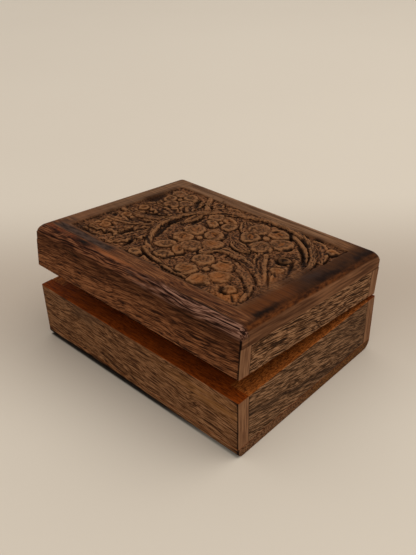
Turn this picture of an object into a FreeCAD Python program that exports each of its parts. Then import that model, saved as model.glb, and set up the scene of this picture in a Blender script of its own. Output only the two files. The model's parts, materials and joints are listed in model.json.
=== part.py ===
# A small carved wooden box with a lid on two brass butt hinges, standing slightly ajar.
#
# Frame: millimetres, +Z up, origin at the centre of the underside of the base. +X runs along the
# long front, the front faces -Y, and the hinges are along the back rim at +Y.
# The lid's pieces are drawn about the axis of the hinge pins, with the two rims parallel, and their
# placement then turns them open by the ajar angle.

import FreeCAD, Part
import math
import os
import Sketcher
from FreeCAD import Placement, Rotation, Vector

document = FreeCAD.newDocument("carved_box")

# Driving dimensions

SIZES = {
    # the whole box
    "box_length": 127.0,
    "box_width": 97.3,
    "base_height": 29.95,
    "lid_height": 21.7,
    "lid_side_shift": 0.5,
    "ajar_angle": 5.7,
    # boards
    "wall_thickness": 9.5,
    "corner_lip": 6.0,
    "top_thickness": 8.0,
    "bottom_thickness": 5.0,
    "top_round": 4.0,
    "bottom_round": 3.0,
    "bottom_round_back": 4.6,
    "arris_round": 0.4,
    # carved field in the top
    "field_border": 11.2,
    "carving_depth": 1.2,
    "motif_drop": 0.15,
    "motif_slope": 0.9,
    "large_petal_radius": 4.0,
    "small_petal_radius": 3.2,
    "heart_radius": 1.5,
    "bud_radius": 2.4,
    "broad_frond_width": 12.0,
    "narrow_frond_width": 6.5,
    "vine_width": 4.0,
    # hinges
    "hinge_from_end": 30.0,
    "leaf_length": 19.0,
    "leaf_reach": 8.5,
    "leaf_thickness": 0.4,
    "leaf_clearance": 0.2,
    "knuckle_radius": 1.25,
    "knuckle_clearance": 0.2,
    "pin_radius": 0.6,
    "pin_inset": 0.1,
    "pin_running_fit": 0.04,
    "pin_head_radius": 0.95,
    "pin_head_thickness": 0.35,
    # screws
    "screw_spacing": 10.0,
    "screw_from_back": 5.2,
    "screw_radius": 0.8,
    "screw_head_radius": 1.5,
    "screw_length": 6.0,
    "screw_tip_length": 1.6,
    "screw_slot_width": 0.45,
    "screw_slot_depth": 0.25,
    "screw_fit": 0.05,
    # how far a cutting shape runs past what it cuts
    "overrun": 1.0,
}

sheet = document.addObject("Spreadsheet::Sheet", "Sizes")
for row, (alias, value) in enumerate(SIZES.items(), start=1):
    sheet.set(f"A{row}", alias)
    sheet.set(f"B{row}", str(value))
    sheet.setAlias(f"B{row}", alias)
document.recompute()

# Places that several pieces share, as expressions on the sheet

HALF_LENGTH = "Sizes.box_length / 2"
HALF_WIDTH = "Sizes.box_width / 2"
RIM_GAP = "(2 * Sizes.leaf_thickness + Sizes.leaf_clearance)"
PIN_Y = "Sizes.box_width / 2 - Sizes.pin_inset"
PIN_Z = f"Sizes.base_height + {RIM_GAP} / 2"
HINGE_X = "(Sizes.box_length / 2 - Sizes.hinge_from_end)"
SCREW_Y = "Sizes.pin_inset - Sizes.screw_from_back"
KNUCKLE_LENGTH = "(Sizes.leaf_length - 2 * Sizes.knuckle_clearance) / 3"
LID_TOP = f"({RIM_GAP} / 2 + Sizes.lid_height)"
CARVED_GROUND = f"{LID_TOP} - Sizes.carving_depth"
MOTIF_RISE = "(Sizes.carving_depth - Sizes.motif_drop)"

# Places of the carved motifs, as shares of half the box's length and half its width

FLOWER_SHARES = (
    # size of the petals, heart, petals
    ("large", (0.30, 0.42), ((0.17, 0.55), (0.31, 0.59), (0.43, 0.43), (0.36, 0.24), (0.20, 0.35))),
    ("large", (-0.04, -0.03), ((-0.14, 0.06), (0.00, 0.12), (0.09, -0.05), (0.00, -0.19), (-0.14, -0.13))),
    ("large", (-0.08, -0.44), ((-0.13, -0.36), (-0.01, -0.34), (-0.03, -0.51))),
    ("large", (0.33, -0.45), ((0.22, -0.34), (0.37, -0.30), (0.46, -0.47), (0.39, -0.62), (0.24, -0.58))),
    ("small", (-0.11, 0.37), ((-0.19, 0.44), (-0.09, 0.48), (-0.02, 0.36), (-0.14, 0.30))),
    ("small", (-0.64, 0.49), ((-0.71, 0.45), (-0.72, 0.61), (-0.60, 0.61), (-0.55, 0.46), (-0.62, 0.35))),
)
BUD_SHARES = ((0.76, 0.65), (0.60, 0.19), (0.66, 0.00), (0.62, -0.57), (-0.20, -0.67))
FROND_SHARES = (
    # breadth, stalk, tip
    ("broad", (-0.41, 0.15), (-0.79, 0.17)),
    ("broad", (-0.41, 0.01), (-0.80, -0.13)),
    ("broad", (-0.39, -0.12), (-0.74, -0.64)),
    ("broad", (-0.36, -0.21), (-0.44, -0.74)),
    ("narrow", (-0.40, 0.27), (-0.46, 0.72)),
    ("narrow", (-0.31, 0.52), (-0.13, 0.75)),
    ("narrow", (0.00, 0.60), (0.14, 0.33)),
    ("narrow", (0.16, 0.16), (0.36, 0.04)),
    ("narrow", (0.41, 0.16), (0.69, -0.27)),
    ("narrow", (0.54, 0.72), (0.82, 0.35)),
    ("narrow", (0.68, -0.04), (0.80, -0.35)),
    ("narrow", (0.47, -0.23), (0.74, -0.53)),
)
VINE_SHARES = (
    # centre of the bend, its radius as a share of half the width, first angle, swept angle
    ((0.07, 0.01), 0.64, 113, 136),
    ((0.17, -0.04), 0.83, -16, 116),
    ((0.23, -0.95), 0.90, 37, 52),
    ((0.29, -0.82), 0.64, 17, 59),
    ((0.15, 0.10), 0.82, 239, 46),
)

SIDES ={"left": "-1", "right": "1"}
ALONG_X = Rotation(Vector(0, 1, 0), 90)
UPSIDE_DOWN = Rotation(Vector(1, 0, 0), 180)

TOLERANCE = 0.001


# Helpers

def bind(item, expressions):
    """Binds each property of an object to an expression on the sheet."""
    for path, expression in expressions.items():
        item.setExpression(path, expression)
    return item


def put(item, x="0", y="0", z="0", rotation=None):
    """Turns an object, then binds the three coordinates of its place."""
    item.Placement = Placement(Vector(), rotation or Rotation())
    return bind(item, {"Placement.Base.x": x, "Placement.Base.y": y, "Placement.Base.z": z})


def hang_on_pin(item, turns_with_lid):
    """Moves a piece drawn about the pin's axis to that axis, and opens the lid's pieces."""
    put(item, y=PIN_Y, z=PIN_Z, rotation=Rotation(Vector(1, 0, 0), -1))
    turn = "-Sizes.ajar_angle" if turns_with_lid else "0"
    return bind(item, {"Placement.Rotation.Angle": turn})


def new_body(label):
    """An empty body that carries the name of its piece."""
    body = document.addObject("PartDesign::Body", label)
    body.Label = label
    return body


def outline(body, corners, level):
    """A closed sketch at a level of the body, each corner held by two expressions."""
    sketch = body.newObject("Sketcher::SketchObject", f"{body.Label}_outline")
    floor_plane = next(plane for plane in body.Origin.OriginFeatures if plane.Role == "XY_Plane")
    sketch.AttachmentSupport = [(floor_plane, "")]
    sketch.MapMode = "FlatFace"
    sketch.setExpression("AttachmentOffset.Base.z", level)
    count = len(corners)
    # the lines start as a regular polygon and the constraints pull them to their places
    start = [Vector(math.cos(math.tau * index / count), math.sin(math.tau * index / count), 0)
             for index in range(count)]
    for index in range(count):
        sketch.addGeometry(Part.LineSegment(start[index], start[(index + 1) % count]), False)
    for index in range(count):
        following = (index + 1) % count
        sketch.addConstraint(Sketcher.Constraint("Coincident", index, 2, following, 1))
    for index, (across, along) in enumerate(corners):
        held = (("DistanceX", across, start[index].x), ("DistanceY", along, start[index].y))
        for kind, expression, distance in held:
            number = sketch.addConstraint(Sketcher.Constraint(kind, -1, 1, index, 1, distance))
            sketch.setExpression(f"Constraints[{number}]", expression)
    return sketch


def rectangle(left, front, right, back):
    """The four corners of a rectangle, anticlockwise from above."""
    return [(left, front), (right, front), (right, back), (left, back)]


def pad(body, corners, level, height):
    """A board of a given outline, from its level up."""
    feature = body.newObject("PartDesign::Pad", f"{body.Label}_board")
    feature.Profile = outline(body, corners, level)
    bind(feature, {"Length": height})
    document.recompute()
    return feature


def bore(body, radius, height, x, y, z, rotation=None):
    """Cuts a round hole that starts at a place and runs along the turned Z axis."""
    feature = body.newObject("PartDesign::SubtractiveCylinder", f"{body.Label}_bore")
    bind(feature, {"Radius": radius, "Height": height})
    return put(feature, x, y, z, rotation)


def edges_at(feature, *sides):
    """Names of the edges that lie on all the named sides of a feature's box, such as ZMax."""
    box = feature.Shape.BoundBox
    names = []
    for number, edge in enumerate(feature.Shape.Edges, start=1):
        lies_there = all(
            abs(getattr(vertex.Point, side[0].lower()) - getattr(box, side)) < TOLERANCE
            for vertex in edge.Vertexes for side in sides)
        if lies_there:
            names.append(f"Edge{number}")
    return names


def round_edges(body, feature, edges, radius):
    """Rounds the named edges of a body's last feature."""
    fillet = body.newObject("PartDesign::Fillet", f"{body.Label}_round")
    fillet.Base = (feature, edges)
    bind(fillet, {"Radius": radius})
    document.recompute()
    return fillet


def solid(kind, name, sizes, x="0", y="0", z="0", rotation=None):
    """A bound primitive at a bound place."""
    return put(bind(document.addObject(f"Part::{kind}", name), sizes), x, y, z, rotation)


def cylinder_along_x(name, radius, length, centre):
    """A cylinder on the pin's axis, given by the middle of its length."""
    sizes = {"Radius": radius, "Height": length}
    return solid("Cylinder", name, sizes, x=f"{centre} - ({length}) / 2", rotation=ALONG_X)


def joined(name, members):
    """One solid out of several."""
    fuse = document.addObject("Part::MultiFuse", name)
    fuse.Shapes = members
    return fuse


def cut(name, base, tool):
    """What is left of a solid once a tool's shape is taken away."""
    result = document.addObject("Part::Cut", name)
    result.Base = base
    result.Tool = tool
    return result


# Boards

def long_wall(label, faces_back, front, back, level, height, rim_side):
    """A long wall, rabbeted inside at both ends so that only a lip of it laps the end walls."""
    lap = f"{HALF_LENGTH} - Sizes.wall_thickness"
    if faces_back:
        lip = f"({back}) - Sizes.corner_lip"
        corners = [(f"-({lap})", front), (lap, front), (lap, lip), (HALF_LENGTH, lip),
                   (HALF_LENGTH, back), (f"-{HALF_LENGTH}", back), (f"-{HALF_LENGTH}", lip),
                   (f"-({lap})", lip)]
    else:
        lip = f"({front}) + Sizes.corner_lip"
        corners = [(f"-{HALF_LENGTH}", front), (HALF_LENGTH, front), (HALF_LENGTH, lip), (lap, lip),
                   (lap, back), (f"-({lap})", back), (f"-({lap})", lip), (f"-{HALF_LENGTH}", lip)]
    body = new_body(label)
    board = pad(body, corners, level, height)
    outer = "YMax" if faces_back else "YMin"
    arrises = edges_at(board, outer, "XMin") + edges_at(board, outer, "XMax")
    arrises += edges_at(board, outer, rim_side)
    round_edges(body, board, arrises, "Sizes.arris_round")
    return body


def end_wall(label, side, front, back, level, height, rim_side):
    """An end wall, set between the lips of the two long walls."""
    inner = f"{HALF_LENGTH} - Sizes.wall_thickness"
    across = (inner, HALF_LENGTH) if side == "right" else (f"-{HALF_LENGTH}", f"-({inner})")
    body = new_body(label)
    board = pad(body, rectangle(across[0], front, across[1], back), level, height)
    outer = "XMax" if side == "right" else "XMin"
    round_edges(body, board, edges_at(board, outer, rim_side), "Sizes.arris_round")
    return body


def fit_hinges(body, pin_x, pin_y, pin_z, rim, into_wood):
    """Knuckle reliefs and screw holes for both hinges, in a wall whose rim is at a given level."""
    relief = "Sizes.knuckle_radius + Sizes.knuckle_clearance"
    relief_end = "(Sizes.pin_head_thickness + Sizes.knuckle_clearance)"
    relief_length = f"(Sizes.leaf_length + 2 * {relief_end})"
    hole = "Sizes.screw_radius + Sizes.screw_fit"
    depth = "Sizes.screw_length + Sizes.screw_fit"
    for side in SIDES.values():
        centre = f"{pin_x} + {side} * {HINGE_X}"
        bore(body, relief, relief_length, f"{centre} - {relief_length} / 2", pin_y, pin_z, ALONG_X)
        for end in SIDES.values():
            place = f"{centre} + {end} * Sizes.screw_spacing / 2"
            bore(body, hole, depth, place, f"{pin_y} + {SCREW_Y}", rim, into_wood)


def make_base():
    """The bottom board and the four walls that stand on it."""
    level = "Sizes.bottom_thickness"
    height = "Sizes.base_height - Sizes.bottom_thickness"
    lips = f"{HALF_WIDTH} - Sizes.corner_lip"
    inside = f"{HALF_WIDTH} - Sizes.wall_thickness"

    bottom = new_body("base_bottom_board")
    whole = rectangle(f"-{HALF_LENGTH}", f"-{HALF_WIDTH}", HALF_LENGTH, HALF_WIDTH)
    board = pad(bottom, whole, "0", level)
    rounded = round_edges(bottom, board, edges_at(board, "ZMin", "YMin"), "Sizes.bottom_round")
    rounded = round_edges(bottom, rounded, edges_at(rounded, "ZMin", "YMax"), "Sizes.bottom_round_back")
    short_edges = edges_at(rounded, "ZMin", "XMin") + edges_at(rounded, "ZMin", "XMax")
    round_edges(bottom, rounded, short_edges, "Sizes.arris_round")

    front = long_wall("base_front_wall", False, f"-{HALF_WIDTH}", f"-({inside})", level, height, "ZMax")
    back = long_wall("base_back_wall", True, inside, HALF_WIDTH, level, height, "ZMax")
    fit_hinges(back, "0", PIN_Y, PIN_Z, "Sizes.base_height", UPSIDE_DOWN)
    ends = [end_wall(f"base_{side}_end_wall", side, f"-({lips})", lips, level, height, "ZMax")
            for side in SIDES]
    return [bottom, front, back] + ends


# Carving

def on_lid(shares):
    """A place on the lid, drawn about the pin's axis, from shares of half the length and width."""
    across, along = shares
    return f"({across}) * {HALF_LENGTH}", f"Sizes.pin_inset - {HALF_WIDTH} + ({along}) * {HALF_WIDTH}"


def knob(name, shares, radius):
    """A low round form with sloping sides: a petal, a flower's heart or a bud."""
    x, y = on_lid(shares)
    sizes = {"Radius1": f"{radius} + Sizes.motif_slope", "Radius2": radius,
             "Height": f"{MOTIF_RISE} + Sizes.overrun"}
    return solid("Cone", name, sizes, x, y, f"{CARVED_GROUND} - Sizes.overrun")


def frond(name, stalk_shares, tip_shares, width):
    """A long rounded leaf, half of it above the ground of the field."""
    (stalk_x, stalk_y), (tip_x, tip_y) = on_lid(stalk_shares), on_lid(tip_shares)
    reach = f"{tip_x} - ({stalk_x}); {tip_y} - ({stalk_y})"
    climb = f"{tip_y} - ({stalk_y}); {tip_x} - ({stalk_x})"
    sizes = {"Radius1": MOTIF_RISE, "Radius2": f"hypot({reach}) / 2", "Radius3": f"{width} / 2"}
    form = solid("Ellipsoid", name, sizes, f"({stalk_x} + {tip_x}) / 2", f"({stalk_y} + {tip_y}) / 2",
                 CARVED_GROUND, Rotation(Vector(0, 0, 1), 1))
    return bind(form, {"Placement.Rotation.Angle": f"atan2({climb})"})


def vine(name, centre_shares, radius_share, first_angle, swept_angle):
    """A bent stem, the upper part of a round one that lies sunk in the ground of the field."""
    x, y = on_lid(centre_shares)
    half = "Sizes.vine_width / 2"
    roundness = f"(({half}) * ({half}) + {MOTIF_RISE} * {MOTIF_RISE}) / (2 * {MOTIF_RISE})"
    sizes = {"Radius1": f"{radius_share} * {HALF_WIDTH}", "Radius2": roundness}
    form = solid("Torus", name, sizes, x, y, f"{CARVED_GROUND} + {MOTIF_RISE} - {roundness}",
                 Rotation(Vector(0, 0, 1), first_angle))
    form.Angle3 = swept_angle
    return form


def make_carving():
    """The main motifs of the carved field: flowers with their hearts, buds, fronds and vines."""
    motifs = []
    for size, heart, petals in FLOWER_SHARES:
        motifs.append(knob("heart", heart, "Sizes.heart_radius"))
        motifs += [knob("petal", place, f"Sizes.{size}_petal_radius") for place in petals]
    motifs += [knob("bud", place, "Sizes.bud_radius") for place in BUD_SHARES]
    motifs += [frond("frond", stalk, tip, f"Sizes.{breadth}_frond_width")
               for breadth, stalk, tip in FROND_SHARES]
    motifs += [vine("vine", *bend) for bend in VINE_SHARES]
    return motifs


def make_top():
    """The top board: a plank with rounded edges and a sunk field, on whose ground the motifs stand."""
    back_face = "Sizes.pin_inset"
    front_face = "Sizes.pin_inset - Sizes.box_width"
    plank = new_body("lid_top_plank")
    whole = rectangle(f"-{HALF_LENGTH}", front_face, HALF_LENGTH, back_face)
    board = pad(plank, whole, f"{LID_TOP} - Sizes.top_thickness", "Sizes.top_thickness")
    rounded = round_edges(plank, board, edges_at(board, "ZMax"), "Sizes.top_round")
    field_end = f"{HALF_LENGTH} - Sizes.field_border"
    field = rectangle(f"-({field_end})", f"{front_face} + Sizes.field_border",
                      field_end, f"{back_face} - Sizes.field_border")
    recess = plank.newObject("PartDesign::Pocket", "carved_field")
    recess.Profile = outline(plank, field, LID_TOP)
    bind(recess, {"Length": "Sizes.carving_depth"})
    document.recompute()
    if recess.Shape.Volume >= rounded.Shape.Volume:
        raise RuntimeError("the carved field cuts nothing")
    return joined("lid_top_board", [plank] + make_carving())


def make_lid():
    """The carved top board and the four walls under it, drawn about the pin's axis."""
    rim = f"{RIM_GAP} / 2"
    wall_height = "Sizes.lid_height - Sizes.top_thickness"
    back_face = "Sizes.pin_inset"
    front_face = "Sizes.pin_inset - Sizes.box_width"

    top = make_top()
    front =long_wall("lid_front_wall", False, front_face, f"{front_face} + Sizes.wall_thickness",
                      rim, wall_height, "ZMin")
    back = long_wall("lid_back_wall", True, f"{back_face} - Sizes.wall_thickness", back_face,
                     rim, wall_height, "ZMin")
    fit_hinges(back, "Sizes.lid_side_shift", "0", "0", rim, Rotation())
    ends = [end_wall(f"lid_{side}_end_wall", side, f"{front_face} + Sizes.corner_lip",
                     f"{back_face} - Sizes.corner_lip", rim, wall_height, "ZMin")
            for side in SIDES]
    pieces = [top, front, back] + ends
    for piece in pieces:
        hang_on_pin(piece, True)
        bind(piece, {"Placement.Base.x": "-Sizes.lid_side_shift"})
    return pieces


# Hinges

def screw(name, x, y, z, points_up):
    """A slotted countersunk screw, whose head ends flush with the leaf that it holds."""
    leaf = "Sizes.leaf_thickness"
    head = solid("Cone", f"{name}_head",
                 {"Radius1": "Sizes.screw_head_radius", "Radius2": "Sizes.screw_radius", "Height": leaf})
    shank_length = "Sizes.screw_length - Sizes.screw_tip_length"
    shank = solid("Cylinder", f"{name}_shank",
                  {"Radius": "Sizes.screw_radius", "Height": shank_length}, z=leaf)
    tip = solid("Cone", f"{name}_tip",
                {"Radius1": "Sizes.screw_radius", "Radius2": "0", "Height": "Sizes.screw_tip_length"},
                z=f"{leaf} + {shank_length}")
    slot = solid("Box", f"{name}_slot",
                 {"Length": "2 * Sizes.screw_head_radius + 2 * Sizes.overrun",
                  "Width": "Sizes.screw_slot_width",
                  "Height": "Sizes.screw_slot_depth + Sizes.overrun"},
                 x="-Sizes.screw_head_radius - Sizes.overrun", y="-Sizes.screw_slot_width / 2",
                 z="-Sizes.overrun")
    whole = cut(name, joined(f"{name}_body", [head, shank, tip]), slot)
    return put(whole, x, y, z, Rotation() if points_up else UPSIDE_DOWN)


def screws(label, sign, in_lid):
    """The two screws of one leaf, as a group about the pin's axis."""
    head_level = f"{RIM_GAP} / 2 - Sizes.leaf_thickness"
    group = document.addObject("Part::Compound", label)
    group.Links = [
        screw(f"{label}_{end}", f"{sign} * {HINGE_X} + {turn} * Sizes.screw_spacing / 2", SCREW_Y,
              head_level if in_lid else f"-({head_level})", in_lid)
        for end, turn in SIDES.items()]
    return hang_on_pin(group, in_lid)


def leaf(label, sign, in_lid):
    """A leaf: a plate on the rim and its share of the three knuckles, bored for the pin."""
    centre = f"{sign} * {HINGE_X}"
    step = f"({KNUCKLE_LENGTH} + Sizes.knuckle_clearance)"
    outer_knuckles = [f"{centre} - {step}", f"{centre} + {step}"]
    own, other = (outer_knuckles, [centre]) if in_lid else ([centre], outer_knuckles)
    half_gap = f"{RIM_GAP} / 2"
    plate_depth = "Sizes.leaf_reach - Sizes.pin_inset"
    plate_level = f"{half_gap} - Sizes.leaf_thickness" if in_lid else f"-{half_gap}"
    plate = solid("Box", f"{label}_plate",
                  {"Length": "Sizes.leaf_length", "Width": plate_depth, "Height": "Sizes.leaf_thickness"},
                  x=f"{centre} - Sizes.leaf_length / 2", y=f"-({plate_depth})", z=plate_level)
    knuckles = [cylinder_along_x(f"{label}_knuckle", "Sizes.knuckle_radius", KNUCKLE_LENGTH, place)
                for place in own]
    room = "Sizes.knuckle_radius + Sizes.knuckle_clearance"
    room_length = f"{KNUCKLE_LENGTH} + 2 * Sizes.knuckle_clearance"
    cutters = [cylinder_along_x(f"{label}_room", room, room_length, place) for place in other]
    cutters.append(cylinder_along_x(f"{label}_bore", "Sizes.pin_radius + Sizes.pin_running_fit",
                                    "Sizes.leaf_length + 2 * Sizes.overrun", centre))
    for end in SIDES.values():
        wide, narrow = "Sizes.screw_head_radius + Sizes.screw_fit", "Sizes.screw_radius + Sizes.screw_fit"
        lower, upper = (wide, narrow) if in_lid else (narrow, wide)
        cutters.append(solid("Cone", f"{label}_countersink",
                             {"Radius1": lower, "Radius2": upper, "Height": "Sizes.leaf_thickness"},
                             x=f"{centre} + {end} * Sizes.screw_spacing / 2", y=SCREW_Y, z=plate_level))
    blank = joined(f"{label}_blank", [plate] + knuckles)
    whole = cut(label, blank, joined(f"{label}_cutters", cutters))
    return hang_on_pin(whole, in_lid)


def pin(label, sign):
    """The pin, with a flat head at both ends that keeps it in the knuckles."""
    centre = f"{sign} * {HINGE_X}"
    head_place = "(Sizes.leaf_length + Sizes.pin_head_thickness) / 2"
    shank = cylinder_along_x(f"{label}_shank", "Sizes.pin_radius", "Sizes.leaf_length", centre)
    heads = [cylinder_along_x(f"{label}_head", "Sizes.pin_head_radius", "Sizes.pin_head_thickness",
                              f"{centre} + {end} * {head_place}")
             for end in SIDES.values()]
    return hang_on_pin(joined(label, [shank] + heads), False)


def make_hinges():
    """Two butt hinges that lie on the rims, so that they hold the rims a little apart."""
    pieces = []
    for side, sign in SIDES.items():
        for part_of, in_lid in (("base", False), ("lid", True)):
            pieces.append(leaf(f"hinge_{side}_{part_of}_leaf", sign, in_lid))
            pieces.append(screws(f"hinge_{side}_{part_of}_screws", sign, in_lid))
        pieces.append(pin(f"hinge_{side}_pin", sign))
    return pieces


# Build, check and write

pieces = make_base() + make_lid() + make_hinges()
document.recompute()

failed = [item.Label for item in document.Objects if {"Invalid", "Error"} & set(item.State)]
failed += [piece.Label for piece in pieces if piece.Shape.isNull() or not piece.Shape.isValid()]
if failed:
    raise RuntimeError(f"not built: {failed}")

os.makedirs("parts", exist_ok=True)
for piece in pieces:
    piece.Shape.exportStep(f"parts/{piece.Label}.step")
    print(piece.Label, len(piece.Shape.Solids), "solids", round(piece.Shape.Volume, 2), "mm3")
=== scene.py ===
# %% [markdown]
# The carved box: loading the frame
#
# The box is already built as a set of boards, hinges, pins and screws at their real size.
# Those boards could be modelled again here, but their shape is right, so most of them only get a finish.
# The one new piece is the carved top board, whose flowers and vines are too fine for the construction model.

# %% Load the frame
import json
import math

import bpy
import numpy as np
from mathutils import Euler, Matrix, Vector


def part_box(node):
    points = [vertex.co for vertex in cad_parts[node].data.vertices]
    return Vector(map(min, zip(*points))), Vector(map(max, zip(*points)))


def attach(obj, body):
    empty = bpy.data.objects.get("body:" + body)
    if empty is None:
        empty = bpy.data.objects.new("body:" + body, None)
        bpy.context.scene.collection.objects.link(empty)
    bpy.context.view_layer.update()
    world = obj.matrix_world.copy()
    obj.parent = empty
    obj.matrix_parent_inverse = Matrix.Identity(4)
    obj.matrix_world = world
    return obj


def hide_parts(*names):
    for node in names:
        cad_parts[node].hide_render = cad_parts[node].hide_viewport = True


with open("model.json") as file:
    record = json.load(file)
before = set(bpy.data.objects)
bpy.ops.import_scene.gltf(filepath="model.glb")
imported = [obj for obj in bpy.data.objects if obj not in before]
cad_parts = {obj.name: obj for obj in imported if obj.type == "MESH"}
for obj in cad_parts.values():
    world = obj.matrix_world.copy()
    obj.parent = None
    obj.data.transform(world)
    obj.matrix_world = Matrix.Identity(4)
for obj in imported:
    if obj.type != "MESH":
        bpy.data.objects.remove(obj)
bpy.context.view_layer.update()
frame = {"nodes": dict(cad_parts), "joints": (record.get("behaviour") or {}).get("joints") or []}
nodes = frame["nodes"]
MM = 0.001

# %% [markdown]
# The lid's own coordinates
#
# The lid stands a little open, turned about its hinge pin, so its boards are tilted in the room.
# A pattern could be laid out in the room's coordinates, but then all its lines would have to be tilted too.
# It is simpler to work in the lid's own coordinates: x and y from the middle of the lid, z up from its rim,
# all in millimetres, and to turn the finished result once.

# %% Lid and base sizes
LID_OPEN_DEGREES = 5.7
LID_SIDE_SHIFT = 0.5
LID_HEIGHT = 21.7
BASE_HEIGHT = 29.95
PIN_INSET = 0.1
RIM_TO_PIN = 0.5
BOARD_THICKNESS = 8.0
BOARD_ROUND = 4.0
BOTTOM_BOARD = 5.0
LIP = 6.0
base_low, base_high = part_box("base_front_wall")
HALF_LENGTH = (base_high.x - base_low.x) / 2 / MM
HALF_WIDTH = -base_low.y / MM
hinge_pin = Vector(frame["joints"][0]["pos_m"]) / MM
lid_turn = Matrix.Rotation(math.radians(-LID_OPEN_DEGREES), 4, "X")
pin_to_lid = Vector((0, HALF_WIDTH - PIN_INSET, -RIM_TO_PIN))
lid_to_world = (Matrix.Translation(hinge_pin - Vector((LID_SIDE_SHIFT, 0, 0)))
                @ lid_turn @ Matrix.Translation(-pin_to_lid))
world_to_lid = lid_to_world.inverted()
print("half length and width:", round(HALF_LENGTH, 2), round(HALF_WIDTH, 2))
corner = lid_to_world @ Vector((HALF_LENGTH, -HALF_WIDTH, LID_HEIGHT))
print("front right top corner of the lid, mm:", [round(value, 2) for value in corner])

# %% [markdown]
# The camera
#
# The box is seen from its front right corner, from about a third of a right angle above the table.
# The camera could be aimed with a constraint, but a plain rotation keeps it free of other objects.
# The sight line, the small roll and the lens were worked out from the box's own corners.

# %% Camera
CAMERA_PLACE = (188.3, -193.4, 209.5)
CAMERA_AZIMUTH = math.radians(43.85)
CAMERA_ELEVATION = math.radians(32.62)
CAMERA_ROLL = math.radians(-1.61)
CAMERA_LENS = 44.04
SENSOR_WIDTH = 36.0
NEAREST_SEEN = 0.01
camera_data = bpy.data.cameras.new("camera")
camera_data.lens = CAMERA_LENS
camera_data.sensor_width = SENSOR_WIDTH
camera_data.clip_start = NEAREST_SEEN
camera = bpy.data.objects.new("camera", camera_data)
bpy.context.collection.objects.link(camera)
sight = Euler((math.pi / 2 - CAMERA_ELEVATION, 0, CAMERA_AZIMUTH), "XYZ").to_matrix()
camera.rotation_euler = (sight @ Matrix.Rotation(CAMERA_ROLL, 3, "Z")).to_euler()
camera.location = Vector(CAMERA_PLACE) * MM
bpy.context.scene.camera = camera
bpy.context.scene.view_settings.view_transform = "Standard"
print("camera turned by", [round(math.degrees(angle), 2) for angle in camera.rotation_euler])

# %% [markdown]
# Shader maths
#
# A finish is a web of nodes, and adding them one by one hides what is being worked out.
# A small wrapper round a socket lets a mask or a mix be written as a sum or a product, as with numbers.
# Anything else comes from its one node method, which sets the node up first and then fills its sockets.

# %% Ink, a value in a material
class Ink:
    """A value in a material's node tree that can be added and multiplied like a number."""

    def __init__(self, tree, socket):
        self.tree = tree
        self.socket = socket

    def node(self, kind, settings, sockets, output=0):
        """A new node: its settings first, then the values or links of its sockets."""
        made = self.tree.nodes.new(kind)
        for name, value in settings.items():
            setattr(made, name, value)
        for key, value in sockets.items():
            if isinstance(value, Ink):
                self.tree.links.new(value.socket, made.inputs[key])
            else:
                made.inputs[key].default_value = value
        return Ink(self.tree, made.outputs[output])

    def math(self, operation, first, second):
        return self.node("ShaderNodeMath", {"operation": operation}, {0: first, 1: second})

    def __add__(self, other):
        return self.math("ADD", self, other)

    def __sub__(self, other):
        return self.math("SUBTRACT", self, other)

    def __rsub__(self, other):
        return self.math("SUBTRACT", other, self)

    def __mul__(self, other):
        return self.math("MULTIPLY", self, other)

    __radd__ = __add__
    __rmul__ = __mul__

    def size(self):
        return self.math("ABSOLUTE", self, 0.0)

    def ease(self, start, end):
        """0 at start and 1 at end, with soft shoulders; start may be the larger."""
        sockets = {"Value": self, "From Min": start, "From Max": end}
        return self.node("ShaderNodeMapRange", {"interpolation_type": "SMOOTHSTEP"}, sockets)

    def near(self, middle, reach):
        """1 at the middle value and 0 beyond reach of it."""
        return (self - middle).size().ease(reach, 0.0)

    def between(self, first, second):
        """The first colour where this value is 0 and the second where it is 1."""
        settings = {"data_type": "RGBA", "clamp_factor": True}
        return self.node("ShaderNodeMix", settings, {0: self, 6: linear(first), 7: linear(second)}, 2)

    def most(self, other):
        return self.math("MAXIMUM", self, other)

    def axis(self, letter):
        return self.node("ShaderNodeSeparateXYZ", {}, {0: self}, letter)

    def axes(self):
        """The three coordinates of a place."""
        return [self.axis(letter) for letter in "XYZ"]

    def noise(self, x, y, z, detail=2.0, roughness=0.5):
        """Noise with so many features per unit along each axis."""
        scaled = self.node("ShaderNodeVectorMath", {"operation": "MULTIPLY"}, {0: self, 1: (x, y, z)})
        sockets = {"Vector": scaled, "Scale": 1.0, "Detail": detail, "Roughness": roughness}
        return self.node("ShaderNodeTexNoise", {}, sockets)


def linear(colour):
    """A colour from 0 to 255, as it looks on a screen, for a socket. An ink stays as it is."""
    if isinstance(colour, Ink):
        return colour
    values = []
    for value in colour:
        share = value / 255
        values.append(share / 12.92 if share <= 0.04045 else ((share + 0.055) / 1.055) ** 2.4)
    return (*values, 1.0)


def layered(colour, *stains):
    """Lays colours over a colour, one after another: stains, and painted shade and highlights. Each is a mask
    and the colour that it brings.
    """
    for mask, stain in stains:
        colour = mask.between(colour, stain)
    return colour


print("grey 128 of a screen is", round(linear((128, 128, 128))[0], 3), "of full light")

# %% [markdown]
# Floor and light
#
# The box stands on a pale cloth in soft light that comes from all round and a little more from above.
# A single plane is enough for the floor, because the camera looks down and never sees its far edge.
# The cloth is a little dimmer in a broad band at the depth of the box, which its colour gives more simply
# than a lamp, and nearly black where it lies in the shade of the rounded front edge.
# A sky of one colour gives the even light, and a broad lamp overhead, to the right and behind, the rest.

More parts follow.
